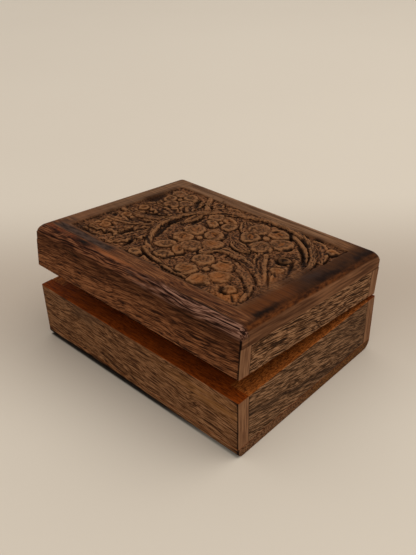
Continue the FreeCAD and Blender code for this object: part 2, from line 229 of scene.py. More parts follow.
# %% Floor
FLOOR_SIZE = 6.0
FLOOR_PALE = (209, 199, 184)
FLOOR_SHADE = (204, 193, 178)
FLOOR_DIM = (174, 160, 145)
FLOOR_FOOT = (20, 14, 10)
DIM_DEPTH = 0.045
DIM_REACH = 0.12
FOOT_FRONT = (-0.0492, -0.0480)
FOOT_BACK = (-0.040, -0.044)
FOOT_LEFT = (-0.0635, -0.062)
FOOT_FADE = (0.060, 0.010)
FOOT_RIGHT = (0.064, 0.061)
bpy.ops.object.select_all(action="DESELECT")
bpy.ops.mesh.primitive_plane_add(size=FLOOR_SIZE, location=(0, 0, 0))
floor = bpy.context.object
floor.name = "floor"


def new_finish(name):
    """An empty material with its shader and the Object coordinates, both as starting points."""
    material = bpy.data.materials.new(name)
    material.use_nodes = True
    tree = material.node_tree
    shader = tree.nodes["Principled BSDF"]
    coordinates = tree.nodes.new("ShaderNodeTexCoord")
    return material, shader, Ink(tree, coordinates.outputs["Object"])


def wire(shader, **inks):
    """Links inks to the shader's sockets, with spaces in the sockets' names written as underscores."""
    for name, ink in inks.items():
        ink.tree.links.new(ink.socket, shader.inputs[name.replace("_", " ")])


floor_finish, floor_shader, floor_place = new_finish("floor_cloth")
x, y, _ = floor_place.axes()
cloud = floor_place.noise(3.0, 3.0, 3.0, 3.0)
away = y * math.cos(CAMERA_AZIMUTH) - x * math.sin(CAMERA_AZIMUTH)
dim = away.near(DIM_DEPTH, DIM_REACH) * 0.9
foot = y.ease(*FOOT_FRONT) * y.ease(*FOOT_BACK) * x.ease(*FOOT_LEFT)
foot = foot * (x.ease(*FOOT_FADE) * 0.5 + x.ease(*FOOT_RIGHT) * 0.45)
cloth = cloud.between(FLOOR_PALE, FLOOR_SHADE)
wire(floor_shader, Base_Color=layered(cloth, (dim, FLOOR_DIM), (foot, FLOOR_FOOT)))
floor_shader.inputs["Roughness"].default_value = 0.9
floor_shader.inputs["Specular IOR Level"].default_value = 0.1
floor.data.materials.append(floor_finish)
print("floor", FLOOR_SIZE, "m wide")

# %% Lights
WINDOW_PLACE = Vector((0.45, 0.45, 1.25))
WINDOW_SIZE = 1.0
WINDOW_WATTS = 6.0
WINDOW_COLOUR = (1.0, 0.97, 0.93)
GLOW = 0.85
GLOW_COLOUR = (1.0, 0.975, 0.94)
window_data = bpy.data.lights.new("window", "AREA")
window_data.shape = "DISK"
window_data.size = WINDOW_SIZE
window_data.energy = WINDOW_WATTS
window_data.color = WINDOW_COLOUR
window = bpy.data.objects.new("window", window_data)
window.location = WINDOW_PLACE
window.rotation_euler = WINDOW_PLACE.to_track_quat("Z", "Y").to_euler()
bpy.context.collection.objects.link(window)
world = bpy.data.worlds.new("glow")
bpy.context.scene.world = world
world.use_nodes = True
background = world.node_tree.nodes["Background"]
background.inputs["Color"].default_value = (*GLOW_COLOUR, 1.0)
background.inputs["Strength"].default_value = GLOW
print("window of", WINDOW_SIZE, "m at", [round(value, 2) for value in WINDOW_PLACE])

# %% [markdown]
# Wood
#
# The box is a brown open-pored hardwood. Its colour runs in long streaks along the grain, short dashes of
# darker and lighter fibre lie in them, and dark pores are cut open wherever a board was planed.
# An image could be wrapped round each board, but the end grain would then not belong to the face grain.
# Here each board is cut from solid noise, stretched along the grain, so that every side of it agrees.

# %% Wood from noise
BASE_SPACE = Matrix.Identity(4)
LID_SPACE = world_to_lid
ALONG_LENGTH = 0.0
ALONG_WIDTH = math.pi / 2
SWAY = 9.0
# dark brown of open pores, also used for the carving's dark wax and painted shade
PORE_AND_SHADE_DARK = (22, 11, 5)
PORE_BUMP = 0.15
PORE_DEPTH = 0.0004
WAX_ROUGHNESS = 0.55


def in_space(place, space):
    """Object coordinates in metres as millimetres in the base's or the lid's own space."""
    sockets = {"Vector": place, "Location": space.to_translation(), "Rotation": space.to_euler(),
               "Scale": (1 / MM, 1 / MM, 1 / MM)}
    return place.node("ShaderNodeMapping", {"vector_type": "POINT"}, sockets)


def grain_space(place, direction, slope_degrees, offset, fine):
    """Turns a place so that x runs along the grain, which climbs a little, and moves it to fresh wood."""
    slope = math.radians(slope_degrees)
    rotation = (0.0, slope, 0.0) if direction == ALONG_LENGTH else (-slope, 0.0, -direction)
    sockets = {"Vector": place, "Rotation": rotation, "Location": (offset, offset * 0.7, offset * 1.3),
               "Scale": (fine, fine, fine)}
    return place.node("ShaderNodeMapping", {"vector_type": "POINT"}, sockets)


def cut_wood(place, direction, slope, offset, wood, fine=1.0):
    """Colour, height and tone of plain wood: long streaks, thin lines and dashes of fibre, and open pores."""
    dark, middle, light, streak, dash, pore = wood
    along = grain_space(place, direction, slope, offset, fine)
    sway = along.noise(0.018, 0.03, 0.03)
    pushed = sway.node("ShaderNodeCombineXYZ", {}, {"Y": sway, "Z": sway})
    bent = along.node("ShaderNodeVectorMath", {"operation": "MULTIPLY_ADD"},
                      {0: pushed, 1: (0.0, SWAY, SWAY), 2: along})
    streaks = bent.noise(0.009, 0.28, 0.28, 3.0, 0.6)
    lines = bent.noise(0.07, 1.3, 1.3, 1.0)
    dashes = bent.noise(0.15, 2.1, 2.1, 1.0)
    pores = bent.noise(0.30, 1.7, 1.7, 1.0, 0.4).ease(0.62, 0.72)
    tone = (streaks - 0.5) * streak + (lines + dashes - 1.0) * dash + 0.5
    lower = tone.ease(0.0, 0.5).between(dark, middle)
    colour = layered(lower, (tone.ease(0.5, 1.0), light), (pores * pore, PORE_AND_SHADE_DARK))
    return colour, dashes * 0.5 - pores, tone


def polish(shader, colour, height, tone):
    """Connects a wood's colour, an uneven wax finish and the relief of its pores."""
    sockets = {"Height": height, "Strength": PORE_BUMP, "Distance": PORE_DEPTH}
    bump = height.node("ShaderNodeBump", {}, sockets)
    wire(shader, Base_Color=colour, Roughness=tone * 0.08 + WAX_ROUGHNESS, Normal=bump)
    shader.inputs["Specular IOR Level"].default_value = 0.02


print("wood spaces: base and lid, lid turned by", LID_OPEN_DEGREES, "degrees")

# %% [markdown]
# The walls
#
# The long walls show face grain on the front and back, and a lip of their end grain on the ends.
# The end walls show coarser, dashed grain between the lips. All rims and insides are sawn, smooth and warmer,
# and on the long walls they are painted darker as shade.
# One finish for all would be quicker, but each board was cut from another plank, so each has its own wood,
# and a few stains are placed where the real boards have them.

# %% Stains of the walls
SEAM = (40, 22, 12)
BLACK = (14, 7, 4)


def past(value, edge, start, end):
    """0 where a value is start short of an edge, on either side, and 1 where it is end short of it."""
    return value.size().ease(edge - start, edge - end)


def dark_arris_line(x, y, place):
    """The dark, uneven line of the front right corner, on its front side."""
    ragged = place.noise(0.2, 0.2, 0.5, 3.0) * 1.2 - 0.6
    on_front = y.ease(-HALF_WIDTH + 0.6, -HALF_WIDTH + 0.2)
    return (x + ragged).ease(HALF_LENGTH - 1.2, HALF_LENGTH - 0.5) * on_front * 0.85


def no_stain(place, colour):
    """The wood as it is."""
    return colour


def base_front_stain(place, colour):
    """Greyer at the upper left, yellower lines at the upper right, a few dark dashes and the arris."""
    x, y, z = place.axes()
    grey = x.near(-32, 34) * z.ease(16, 28) * place.noise(0.05, 0.05, 0.12, 3.0).ease(0.35, 0.6)
    yellow = x.ease(10, 50) * z.near(23, 7) * place.noise(0.04, 0.5, 0.9, 3.0).ease(0.35, 0.6)
    dashes = place.noise(0.06, 0.5, 1.1, 2.0).ease(0.55, 0.66) * x.ease(30, 46)
    dashes = dashes * (z + x * 0.2).near(25.5, 3.5)
    return layered(colour, (grey * 0.7, (66, 46, 32)), (yellow * 0.75, (132, 88, 48)),
                   (dashes * 0.9, (34, 18, 9)), (dark_arris_line(x, y, place), BLACK))


def base_end_stain(place, colour):
    """Darker at the back, and a long dark streak that slants down to the back and spreads into a patch."""
    _, y, z = place.axes()
    wander = place.noise(0.06, 0.06, 0.06, 2.0) * 5.0 - 2.5
    level = y * -0.215 + wander + 10.6
    near_line = (z - level).size().ease(2.6, 0.3) * y.ease(46, 30)
    patch = (z - level + 1.0).size().ease(4.5, 1.0) * y.near(16, 22)
    dark = (near_line * 0.6).most(patch * 0.5)
    return layered(colour, (y.ease(0, 40) * 0.35, (56, 36, 23)), (dark, (38, 24, 15)))


def lid_front_stain(place, colour):
    """Darker towards the top, dark dashes there except at the left end, and the arris."""
    x, y, z = place.axes()
    dashes = place.noise(0.07, 0.4, 1.1, 2.0).ease(0.53, 0.63) * z.near(17.5, 5) * x.ease(-56, -30)
    return layered(colour, (z.ease(5, 20) * 0.72, (46, 21, 8)), (dashes * 0.85, PORE_AND_SHADE_DARK),
                   (dark_arris_line(x, y, place), BLACK))


print("stains ready")

# %% Finishes of the walls
# warm sawn wood of rims and insides; on the long walls it is painted darker as shade
SHADED_LONG_RIM = ((72, 27, 4), (130, 58, 13))
END_RIM = ((84, 38, 9), (150, 84, 35))
LIP_WOOD = ((96, 63, 42), (134, 95, 66))
# dark, middle and light colour, then the strength of streaks, dashes and pores
BROWN = ((48, 27, 14), (100, 65, 39), (140, 99, 67), 0.6, 2.3, 0.4)
WARM = ((38, 18, 8), (95, 55, 31), (132, 84, 52), 1.0, 2.2, 0.65)
DASHED = ((34, 19, 8), (84, 54, 32), (148, 108, 76), 0.6, 2.8, 0.3)
SOFT_DASHED = ((38, 23, 11), (88, 60, 38), (142, 105, 75), 0.35, 2.6, 0.3)
WALLS = {
    # climb of the grain in degrees, place in the plank, wood, stain, fineness
    "base_front_wall": (-2, 3.0, BROWN, base_front_stain, 1.4),
    "base_back_wall": (-3, 31.0, BROWN, no_stain, 1.0),
    "base_left_end_wall": (4, 57.0, SOFT_DASHED, no_stain, 1.0),
    "base_right_end_wall": (-13, 71.0, SOFT_DASHED, base_end_stain, 1.6),
    "lid_front_wall": (5, 93.0, WARM, lid_front_stain, 1.2),
    "lid_back_wall": (-2, 117.0, WARM, no_stain, 1.0),
    "lid_left_end_wall": (3, 131.0, DASHED, no_stain, 1.0),
    "lid_right_end_wall": (-5, 149.0, DASHED, no_stain, 1.5),
}


def wall_finish(name, slope, offset, wood, stain, fine):
    """A wall's finish: face grain outside, plain end grain on the lips, warm sawn wood on rim and inside,
    painted darker as shade on long walls.
    """
    long_wall = "_end" not in name
    of_base = name.startswith("base")
    material, shader, coordinates = new_finish(name.replace("_end", "").replace("wall", "wood"))
    place = in_space(coordinates, BASE_SPACE if of_base else LID_SPACE)
    x, y, z = place.axes()
    direction = ALONG_LENGTH if long_wall else ALONG_WIDTH
    colour, height, tone = cut_wood(place, direction, slope, offset, wood, fine)
    colour = stain(place, colour)
    if long_wall:
        lip = place.noise(0.4, 1.8, 0.12).ease(0.3, 0.7).between(*LIP_WOOD)
        colour = past(x, HALF_LENGTH, 0.25, 0.1).between(colour, lip)
    else:
        colour = (past(y, HALF_WIDTH - LIP, 0.7, 0.1) * 0.7).between(colour, SEAM)
    rim = (z - (BASE_HEIGHT if of_base else 0.0)).size().ease(0.35, 0.15)
    inside = past(x, HALF_LENGTH, 0.5, 0.8) * past(y, HALF_WIDTH, 0.5, 0.8)
    warm = tone.ease(-0.4, 1.4).between(*(SHADED_LONG_RIM if long_wall else END_RIM))
    grit = place.noise(0.8, 0.8, 0.8, 2.0, 0.6).ease(0.5, 0.66) * (0.3 if long_wall else 0.5)
    polish(shader, rim.most(inside).between(colour, grit.between(warm, SEAM)), height, tone)
    return material


def dress(name, material):
    """Gives one piece of the frame its finish."""
    slots = nodes[name].data.materials
    slots.clear()
    slots.append(material)


for name, recipe in WALLS.items():
    dress(name, wall_finish(name, *recipe))
print("walls finished:", len(WALLS))

# %% [markdown]
# The bottom board
#
# It lies under the walls and shows as the lowest strip of each side. On the ends it is a little more orange
# than the wall above, and along the front its rounded edge is painted nearly black as shade.
# It could share the front wall's finish, but these strips differ, so it gets that wood, stains and painted
# shade of its own.

# %% Finish of the bottom board
material, shader, coordinates = new_finish("base_bottom_wood")
place = in_space(coordinates, BASE_SPACE)
x, y, z = place.axes()
colour, height, tone = cut_wood(place, ALONG_LENGTH, -2, 3.0, BROWN)
end_light = y.ease(-14, 4).between((118, 82, 56), (112, 72, 38))
end_wood = tone.ease(0.0, 1.0).between((58, 34, 18), end_light)
ragged = place.noise(0.05, 0.05, 0.05, 3.0) * 2.4 - 1.2
# painted shade: the lowest few millimetres round the rounded lower edge are coloured nearly black, thinner
# towards the right and not on the right end
painted_shade_underside = (z + ragged + x.ease(0, 45) * 1.2).ease(3.9, 2.7) * x.ease(HALF_LENGTH - 0.2, HALF_LENGTH - 0.8)
# the inner side of the bottom board takes the long rims' colour, painted darker as shade
upper_side = z.ease(BOTTOM_BOARD - 0.3, BOTTOM_BOARD - 0.1)
colour = layered(colour, (past(x, HALF_LENGTH, 0.4, 0.1), end_wood), (painted_shade_underside, BLACK),
                 (dark_arris_line(x, y, place), BLACK), (upper_side, tone.ease(-0.4, 1.4).between(*SHADED_LONG_RIM)))
polish(shader, colour, height, tone)
dress("base_bottom_board", material)
print("bottom board finished")

# %% [markdown]
# Brass
#
# The hinge leaves, pins and screws are plain brass, dulled by handling.
# A polished metal would be quicker to set up, but small old hinges are never that bright,
# so clouds of tarnish dull it.

# %% Brass
def brass_finish(name, bright, dull, rough):
    """Brass with cloudy tarnish and fine rubbing marks."""
    material, shader, coordinates = new_finish(name)
    place = in_space(coordinates, BASE_SPACE)
    tarnish = place.noise(0.35, 0.35, 0.35, 4.0, 0.6).ease(0.35, 0.7)
    rubbing = place.noise(0.5, 6.0, 6.0, 3.0)
    wire(shader, Base_Color=tarnish.between(bright, dull), Roughness=tarnish * 0.2 + rubbing * 0.15 + rough)
    shader.inputs["Metallic"].default_value = 1.0
    return material


leaf_brass = brass_finish("leaf_brass", (201, 164, 92), (134, 101, 52), 0.22)
screw_brass = brass_finish("screw_brass", (206, 168, 98), (150, 112, 56), 0.2)
for name in nodes:
    if name.startswith("hinge"):
        dress(name, screw_brass if name.endswith("screws") else leaf_brass)
print("brass pieces:", sum(name.startswith("hinge") for name in nodes))

# %% [markdown]
# The carved board: its grid
#
# The top board is one plank with a rounded edge and a field of carving cut about a millimetre deep.
# A displacement modifier could lift a picture of the pattern, but no picture is used here, so the pattern
# is drawn with formulas: a fine grid is moved point by point, as a carver's chisel would do it.
# The grid is fine in the field and coarse in the plain border, and the edge is left square for now.

# %% Grid of the board
FIELD_COLUMNS = 328
FIELD_ROWS = 232
BORDER_LINES = 9
ROUND_LINES = 8
FIELD_BORDER = 9.4


def spread(half, field_lines):
    """Places of the grid lines across the board: round edge, border, field, border, round edge."""
    turn = np.linspace(0, math.pi / 2, ROUND_LINES, endpoint=False)
    rounded = half - BOARD_ROUND + BOARD_ROUND * np.cos(turn)
    border = np.linspace(half - BOARD_ROUND, half - FIELD_BORDER, BORDER_LINES, endpoint=False)
    field = np.linspace(FIELD_BORDER - half, half - FIELD_BORDER, field_lines)
    side = np.concatenate([rounded, border])
    return np.concatenate([-side, field, side[::-1]])


columns = spread(HALF_LENGTH, FIELD_COLUMNS)
rows = spread(HALF_WIDTH, FIELD_ROWS)
bpy.ops.object.select_all(action="DESELECT")
bpy.ops.mesh.primitive_grid_add(x_subdivisions=len(columns) - 1, y_subdivisions=len(rows) - 1, size=1)
carved = bpy.context.object
carved.name = "carved_top"
flat = np.zeros(len(carved.data.vertices) * 3)
carved.data.vertices.foreach_get("co", flat)
flat = flat.reshape(-1, 3)
column_of = np.rint((flat[:, 0] + 0.5) * (len(columns) - 1)).astype(int)
row_of = np.rint((flat[:, 1] + 0.5) * (len(rows) - 1)).astype(int)
triangles = 2 * (len(columns) - 1) * (len(rows) - 1)
print("grid of", len(columns), "by", len(rows), "lines,", triangles, "triangles")

# %% [markdown]
# The carver's tools
#
# Every motif is a low raised form with a shallow cut round it. Each tool below works out how far a point lies
# inside its form, gives the form its own surface, and sinks a narrow moat where it meets what lies around it.
# Later motifs are laid over earlier ones, as petals overlap. Four more numbers are kept for every point:
# how dark it is with wax and painted shade, how orange and how brown the wood is there, and whether it is a
# petal.
# Dark wax and painted shade lie in the moat on all sides of a form, and most painted shade on its front and
# right sides.

# %% Tools: moats and curves
EDGE_WIDTH = 0.5
WAX_AND_SHADE_ALL_ROUND = 0.4
SHADE_FRONT_RIGHT = 2.1
DIAGONAL = 0.7
CURVE_STEP = 0.4
TINY = 1e-9
x_grid, y_grid = np.meshgrid(columns, rows)
relief, soot, orange, brown, petals_here = (np.zeros_like(x_grid) for _ in range(5))


def smooth(share):
    """Eases from 0 to 1 as the share goes from 0 to 1."""
    share = np.clip(share, 0, 1)
    return share * share * (3 - 2 * share)


def bell(distance, width):
    """1 at no distance, and nearly 0 beyond two widths."""
    return np.exp(-(distance / width) ** 2)


def darken(spot, wax):
    """Adds dark wax and painted shade to a spot, where it holds less."""
    soot[spot] = np.maximum(soot[spot], wax)


def swell(x, y, length, seed):
    """Gentle unevenness of hand work, between about -1 and 1."""
    waves = np.random.default_rng(seed)
    total = np.zeros_like(x)
    for _ in range(9):
        angle = waves.uniform(0, 2 * np.pi)
        pace = 2 * np.pi / (length * waves.uniform(0.7, 1.5))
        total += np.sin(pace * (x * np.cos(angle) + y * np.sin(angle)) + waves.uniform(0, 2 * np.pi))
    return total / 4.5


uneven = swell(x_grid, y_grid, 3.4, 1)
broken = 0.45 + 0.55 * smooth(0.5 + 0.9 * swell(x_grid, y_grid, 5.0, 2))


def window_on(points, reach):
    """The part of the grid within reach of some points."""
    low = np.min(points, axis=0) - reach
    high = np.max(points, axis=0) + reach
    first_column, last_column = np.searchsorted(columns, (low[0], high[0]))
    first_row, last_row = np.searchsorted(rows, (low[1], high[1]))
    return np.s_[first_row:last_row, first_column:last_column]


def lay(spot, inside, top, moat, moat_width=0.4):
    """Lays a form over the relief: inside is the distance from its edge, positive within it."""
    rise = smooth(inside / EDGE_WIDTH)
    sunk = bell(np.clip(-inside, 0, None), moat_width) * (1 - rise)
    relief[spot] = relief[spot] * (1 - rise) - moat * sunk + top * rise
    # painted shade: the moat is darkened all round as dark wax and shade, and most on the front and right
    # sides of a form, where its shade falls
    along_y, along_x = np.gradient(inside)
    steep = np.maximum(np.hypot(along_y, along_x), TINY)
    shade_side_share = smooth(0.5 + DIAGONAL * (along_y - along_x) / steep)
    wax_and_shade_kept = moat * sunk * broken[spot] * (WAX_AND_SHADE_ALL_ROUND + SHADE_FRONT_RIGHT * shade_side_share)
    soot[spot] = np.maximum(soot[spot] * (1 - rise), wax_and_shade_kept)
    petals_here[spot] *= 1 - rise


def curve_through(points):
    """A smooth line through given points, as closely spaced points."""
    points = np.array(points, float)
    ends = np.vstack([2 * points[0] - points[1], points, 2 * points[-1] - points[-2]])
    line = []
    for before, start, end, after in zip(ends, ends[1:], ends[2:], ends[3:]):
        count = max(2, int(np.linalg.norm(end - start) / CURVE_STEP))
        share = np.linspace(0, 1, count, endpoint=False)[:, None]
        bend = 2 * before - 5 * start + 4 * end - after
        twist = 3 * start - before - 3 * end + after
        line.append(start + share * ((end - before) + share * (bend + share * twist)) / 2)
    line.append(points[-1:])
    return np.vstack(line)


def beside(spot, line):
    """Share of the way along a line, and distance to its left, for each point of a spot."""
    x, y = x_grid[spot], y_grid[spot]
    best = np.full(x.shape, np.inf)
    share = np.zeros_like(x)
    left = np.zeros_like(x)
    tangents = np.gradient(line, axis=0)
    tangents /= np.linalg.norm(tangents, axis=1)[:, None]
    for index, (point, tangent) in enumerate(zip(line, tangents)):
        dx, dy = x - point[0], y - point[1]
        square = dx * dx + dy * dy
        closer = square < best
        best[closer] = square[closer]
        share[closer] = index / (len(line) - 1)
        left[closer] = (dy * tangent[0] - dx * tangent[1])[closer]
    return share, np.copysign(np.sqrt(best), left)


def gouge(width, depth, points, fade=0.25):
    """A cut along a line, which runs out at both ends and is darkened with wax and painted shade."""
    line = curve_through(points)
    spot = window_on(line, 2 * width)
    share, left = beside(spot, line)
    half = width * 0.6 * (1 + 0.3 * uneven[spot])
    cut = bell(left, half) * smooth(share / fade) * smooth((1 - share) / fade)
    relief[spot] -= depth * cut
    darken(spot, cut * min(1.0, depth * 1.5))


def crescent(x, y, radius, start, end, width, depth):
    """A cut along part of a circle, between two angles in degrees."""
    angles = np.radians(np.linspace(start, end, 7))
    gouge(width, depth, np.stack([x + radius * np.cos(angles), y + radius * np.sin(angles)], axis=1))


print("relief of", relief.size, "points")

# %% Tools: petals, hearts and buds
PETAL_TOP = -0.12
PETAL_SQUARENESS = 2.3


def turned(spot, centre, direction):
    """Distances from a centre along a direction and across it."""
    dx, dy = x_grid[spot] - centre[0], y_grid[spot] - centre[1]
    return dx * direction[0] + dy * direction[1], dy * direction[0] - dx * direction[1]


def petal_shape(spot, centre, heart, length, width):
    """Distance from a petal's middle, 1 at its edge, distance inside the edge in mm, and fanned lines."""
    outward = (centre - heart) / np.linalg.norm(centre - heart)
    along, across = turned(spot, centre, outward)
    along = along / (length / 2)
    across = across / (width / 2 * (1 + 0.2 * np.clip(along, -1, 1)))
    power = PETAL_SQUARENESS
    radius = (np.abs(along) ** power + np.abs(across) ** power) ** (1 / power)
    inside = (1 - radius) * width / 2 + 0.4 * uneven[spot]
    fan = np.maximum(0, np.cos(2 * np.pi * (1.5 * across + 0.12 * uneven[spot]))) ** 5
    return radius, inside, fan * smooth((along + 1) / 0.6) * smooth((1 - radius) / 0.3)


def heart_of(centre, radius):
    """The small ringed knob in the middle of a flower."""
    centre = np.array(centre, float)
    spot = window_on(centre[None], radius * 2)
    away = np.hypot(x_grid[spot] - centre[0], y_grid[spot] - centre[1])
    lay(spot, radius - away, -0.15 - 0.15 * bell(away / radius - 0.55, 0.2), 0.35)


def eye(centre, turn, half):
    """The hollow in the middle of a petal: an oval with a dark rim and orange wood in it."""
    spot = window_on(centre[None], half * 2)
    along, across = turned(spot, centre, turn)
    radius = np.hypot(along / half, across / (half * 0.55)) + 0.15 * uneven[spot]
    rim = bell(radius - 1.1, 0.22) * broken[spot]
    relief[spot] -= 0.18 * smooth((1.2 - radius) / 0.5) + 0.12 * rim
    darken(spot, 0.75 * rim)
    orange[spot] = np.maximum(orange[spot], 0.75 * smooth((1.1 - radius) / 0.4))


def flower(heart, petals, size, heart_radius):
    """Petals that meet in creases round a heart; each has a place and a mark: a slit, a fold or a ring."""
    heart = np.array(heart, float)
    places = np.array([(x, y) for x, y, mark in petals], float)
    spot = window_on(places, size)
    shapes = []
    for place in places:
        reach = np.linalg.norm(place - heart)
        shapes.append(petal_shape(spot, place, heart, min(size, 1.35 * reach), size))
    radii = np.array([shape[0] for shape in shapes])
    insides = np.array([shape[1] for shape in shapes] + [np.full_like(shapes[0][1], -size)])
    fans = np.max([shape[2] for shape in shapes], axis=0)
    second, first = np.sort(insides, axis=0)[-2:]
    nearest = radii.min(axis=0)
    crease = bell(first - second, 0.5) * smooth((second + 0.8) / 0.8)
    hollow = 0.16 * np.exp(-(nearest / 0.55) ** 4)
    edge = 0.22 * smooth((nearest - 0.62) / 0.38)
    lay(spot, first, PETAL_TOP - hollow - edge - 0.4 * crease - 0.18 * fans, 0.4, 0.3)
    within = smooth(first / EDGE_WIDTH)
    darken(spot, np.maximum(0.8 * crease, 0.6 * fans) * within * broken[spot])
    petals_here[spot] = np.maximum(petals_here[spot], within)
    for place, (_, _, mark) in zip(places, petals):
        outward = (place - heart) / np.linalg.norm(place - heart)
        turn = np.array([-outward[1], outward[0]])
        if mark == "slit":
            gouge(1.0, 0.5, [place - turn * size * 0.24, place + outward * 0.7, place + turn * size * 0.24])
            eye(place, turn, size * 0.26)
        if mark == "fold":
            for side in (-0.16, 0.12):
                start = place - outward * size * 0.26 + turn * size * side * 0.5
                end = place + outward * size * 0.3 + turn * size * side * 1.6
                gouge(0.8, 0.4, [start, (start + end) / 2 + turn * 0.3, end])
        if mark == "ring":
            eye(place, turn, size * 0.18)
    if heart_radius:
        heart_of(heart, heart_radius)


def tint(values, x, y, reach, strength):
    """A soft patch in one of the kept numbers."""
    away = np.hypot(x_grid - x, y_grid - y)
    values[:] = np.maximum(values, strength * bell(away, reach))


print("petal, heart and tint tools ready")

# %% Tools: vines and leaves
VINE_MOAT = 0.42
LEAF_TOP = -0.14
LEAF_MOAT = 0.55


def vine(points, width, taper, top=-0.10):
    """A flat stem with three uneven lines along it."""
    line = curve_through(points)
    spot = window_on(line, width + 2)
    share, left = beside(spot, line)
    half = width / 2 * (1 - taper * share)
    offset = left / half
    wander = offset + 0.22 * uneven[spot]
    lines = bell(np.abs(np.abs(wander) - 0.3) - 0.3, 0.14) * broken[spot]
    inside = half - np.abs(left) + 0.25 * uneven[spot]
    lay(spot, inside, top - 0.2 * offset ** 4 - 0.26 * lines, VINE_MOAT)
    darken(spot, 0.95 * lines * smooth(inside / EDGE_WIDTH))


def leaf(points, width, veins, scallops=0.0):
    """A leaf whose halves slope from its edges down to a midrib, with side veins and a long line in each."""
    line = curve_through(points)
    length = np.linalg.norm(np.diff(line, axis=0), axis=1).sum()
    spot = window_on(line, width)
    share, left = beside(spot, line)
    reach = np.abs(left)
    outline = np.sin(np.pi * np.clip(share, 0, 1) ** 0.8) ** 0.7
    outline = outline * (1 + scallops * np.cos(2 * np.pi * veins * share))
    half = np.maximum(width / 2 * outline, 0.15)
    offset = np.clip(reach / half, 0, 1)
    midrib = bell(reach, 0.40)
    phase = veins * (share - 0.6 * reach / length) + 0.15 * uneven[spot]
    side_veins = 0.35 * np.maximum(0, np.cos(2 * np.pi * phase)) ** 4 * smooth(offset / 0.3)
    cuts = np.maximum(side_veins, bell(offset + 0.12 * uneven[spot] - 0.5, 0.13))
    inside = half - reach + 0.3 * uneven[spot]
    lay(spot, inside, LEAF_TOP - 0.45 * midrib - 0.42 * cuts - 0.2 * (1 - offset), LEAF_MOAT)
    dark = np.maximum(midrib, cuts) * smooth(inside / EDGE_WIDTH) * broken[spot]
    darken(spot, 0.9 * dark)


print("vine and leaf tools ready")

# %% [markdown]
# Carving the field
#
# First the field is sunk and its ground is punched all over with a blunt point, so that the motifs stand out.
# Then come the big leaves on the left, the vines, and the flowers, from the lowest to the highest.
# A motif repeated by an array would be shorter, but the real carving never repeats itself, so each one is
# placed one by one. All places are read off the real box, in millimetres from the middle of the lid.

# %% Ground
GROUND = -0.8
FIELD_LEFT, FIELD_RIGHT = -53.2, 51.8
FIELD_RIGHT_SLANT = 0.05
FIELD_FRONT, FIELD_BACK = -36.8, 38.0
PUNCH_SPACING = 1.4


def punched(x, y, spacing, seed):
    """Depth of punch marks, one in each cell of a jittered net."""
    marks = np.random.default_rng(seed)
    across = int(2 * HALF_LENGTH / spacing) + 4
    place = marks.uniform(0.1, 0.9, (across, across, 2))
    weight = marks.uniform(0.2, 1.0, (across, across))
    column = np.floor((x + HALF_LENGTH) / spacing).astype(int) + 1
    row = np.floor((y + HALF_LENGTH) / spacing).astype(int) + 1
    depth = np.zeros_like(x)
    for step_x in (-1, 0, 1):
        for step_y in (-1, 0, 1):
            cell = (column + step_x, row + step_y)
            centre_x = (cell[0] - 1 + place[cell][..., 0]) * spacing - HALF_LENGTH
            centre_y = (cell[1] - 1 + place[cell][..., 1]) * spacing - HALF_LENGTH
            away = np.hypot(x - centre_x, y - centre_y)
            depth = np.maximum(depth, weight[cell] * bell(away, 0.36 * spacing))
    return depth


in_x = np.minimum(x_grid - FIELD_LEFT, FIELD_RIGHT + FIELD_RIGHT_SLANT * y_grid - x_grid)
in_y = np.minimum(y_grid - FIELD_FRONT, FIELD_BACK - y_grid)
field_depth = np.minimum(in_x, in_y) + 0.35 * swell(x_grid, y_grid, 14.0, 3)
in_field = smooth(field_depth / 0.9)
marks = punched(x_grid, y_grid, PUNCH_SPACING, 5)
relief[:] = (GROUND + 0.12 * swell(x_grid, y_grid, 5.0, 4) - 0.42 * marks) * in_field
# painted shadow: a dark line along the edge of the sunk field, under the border's step
edge_shadow = in_field * bell(field_depth, 1.1)
soot[:] = np.maximum(marks * in_field, 0.7 * edge_shadow * broken)
print("field of", round(FIELD_RIGHT - FIELD_LEFT, 1), "by", round(FIELD_BACK - FIELD_FRONT, 1), "mm, punched")

# %% Leaves
leaf([(-26, 7), (-37, 9.5), (-50, 8)], 13, 6, 0.15)
leaf([(-26, 2), (-37, -4), (-51, -4)], 11, 6, 0.15)
leaf([(-25, -6), (-34, -16), (-47, -31)], 20, 8, 0.14)
leaf([(-23, -10), (-26, -22), (-27, -36)], 12.5, 7, 0.15)
leaf([(-24, 13), (-30.5, 20), (-29, 33)], 8.5, 6, 0.1)
leaf([(-21, 24), (-21.5, 31), (-24, 39)], 7.5, 4)
leaf([(-20, 25), (-14.5, 32), (-8, 36.5)], 7.5, 5)
leaf([(-21, 21), (-19.5, 13), (-19.5, 3)], 4.5, 5)
leaf([(0, 29), (4.5, 24), (9, 16)], 7.5, 3)
leaf([(10, 8), (16, 5), (24, 3)], 7.5, 4)
leaf([(26, 8), (32, 0), (44, -13)], 6.5, 7)
leaf([(34, 35), (42, 30), (52, 17)], 9.0, 6)
leaf([(43, -2), (48, -8), (51, -17)], 7.5, 5)
leaf([(30, -11), (39, -16), (47, -26)], 5.5, 5)
leaf([(-48, 15), (-42, 14), (-35, 17)], 5.5, 4)
print("leaves carved")

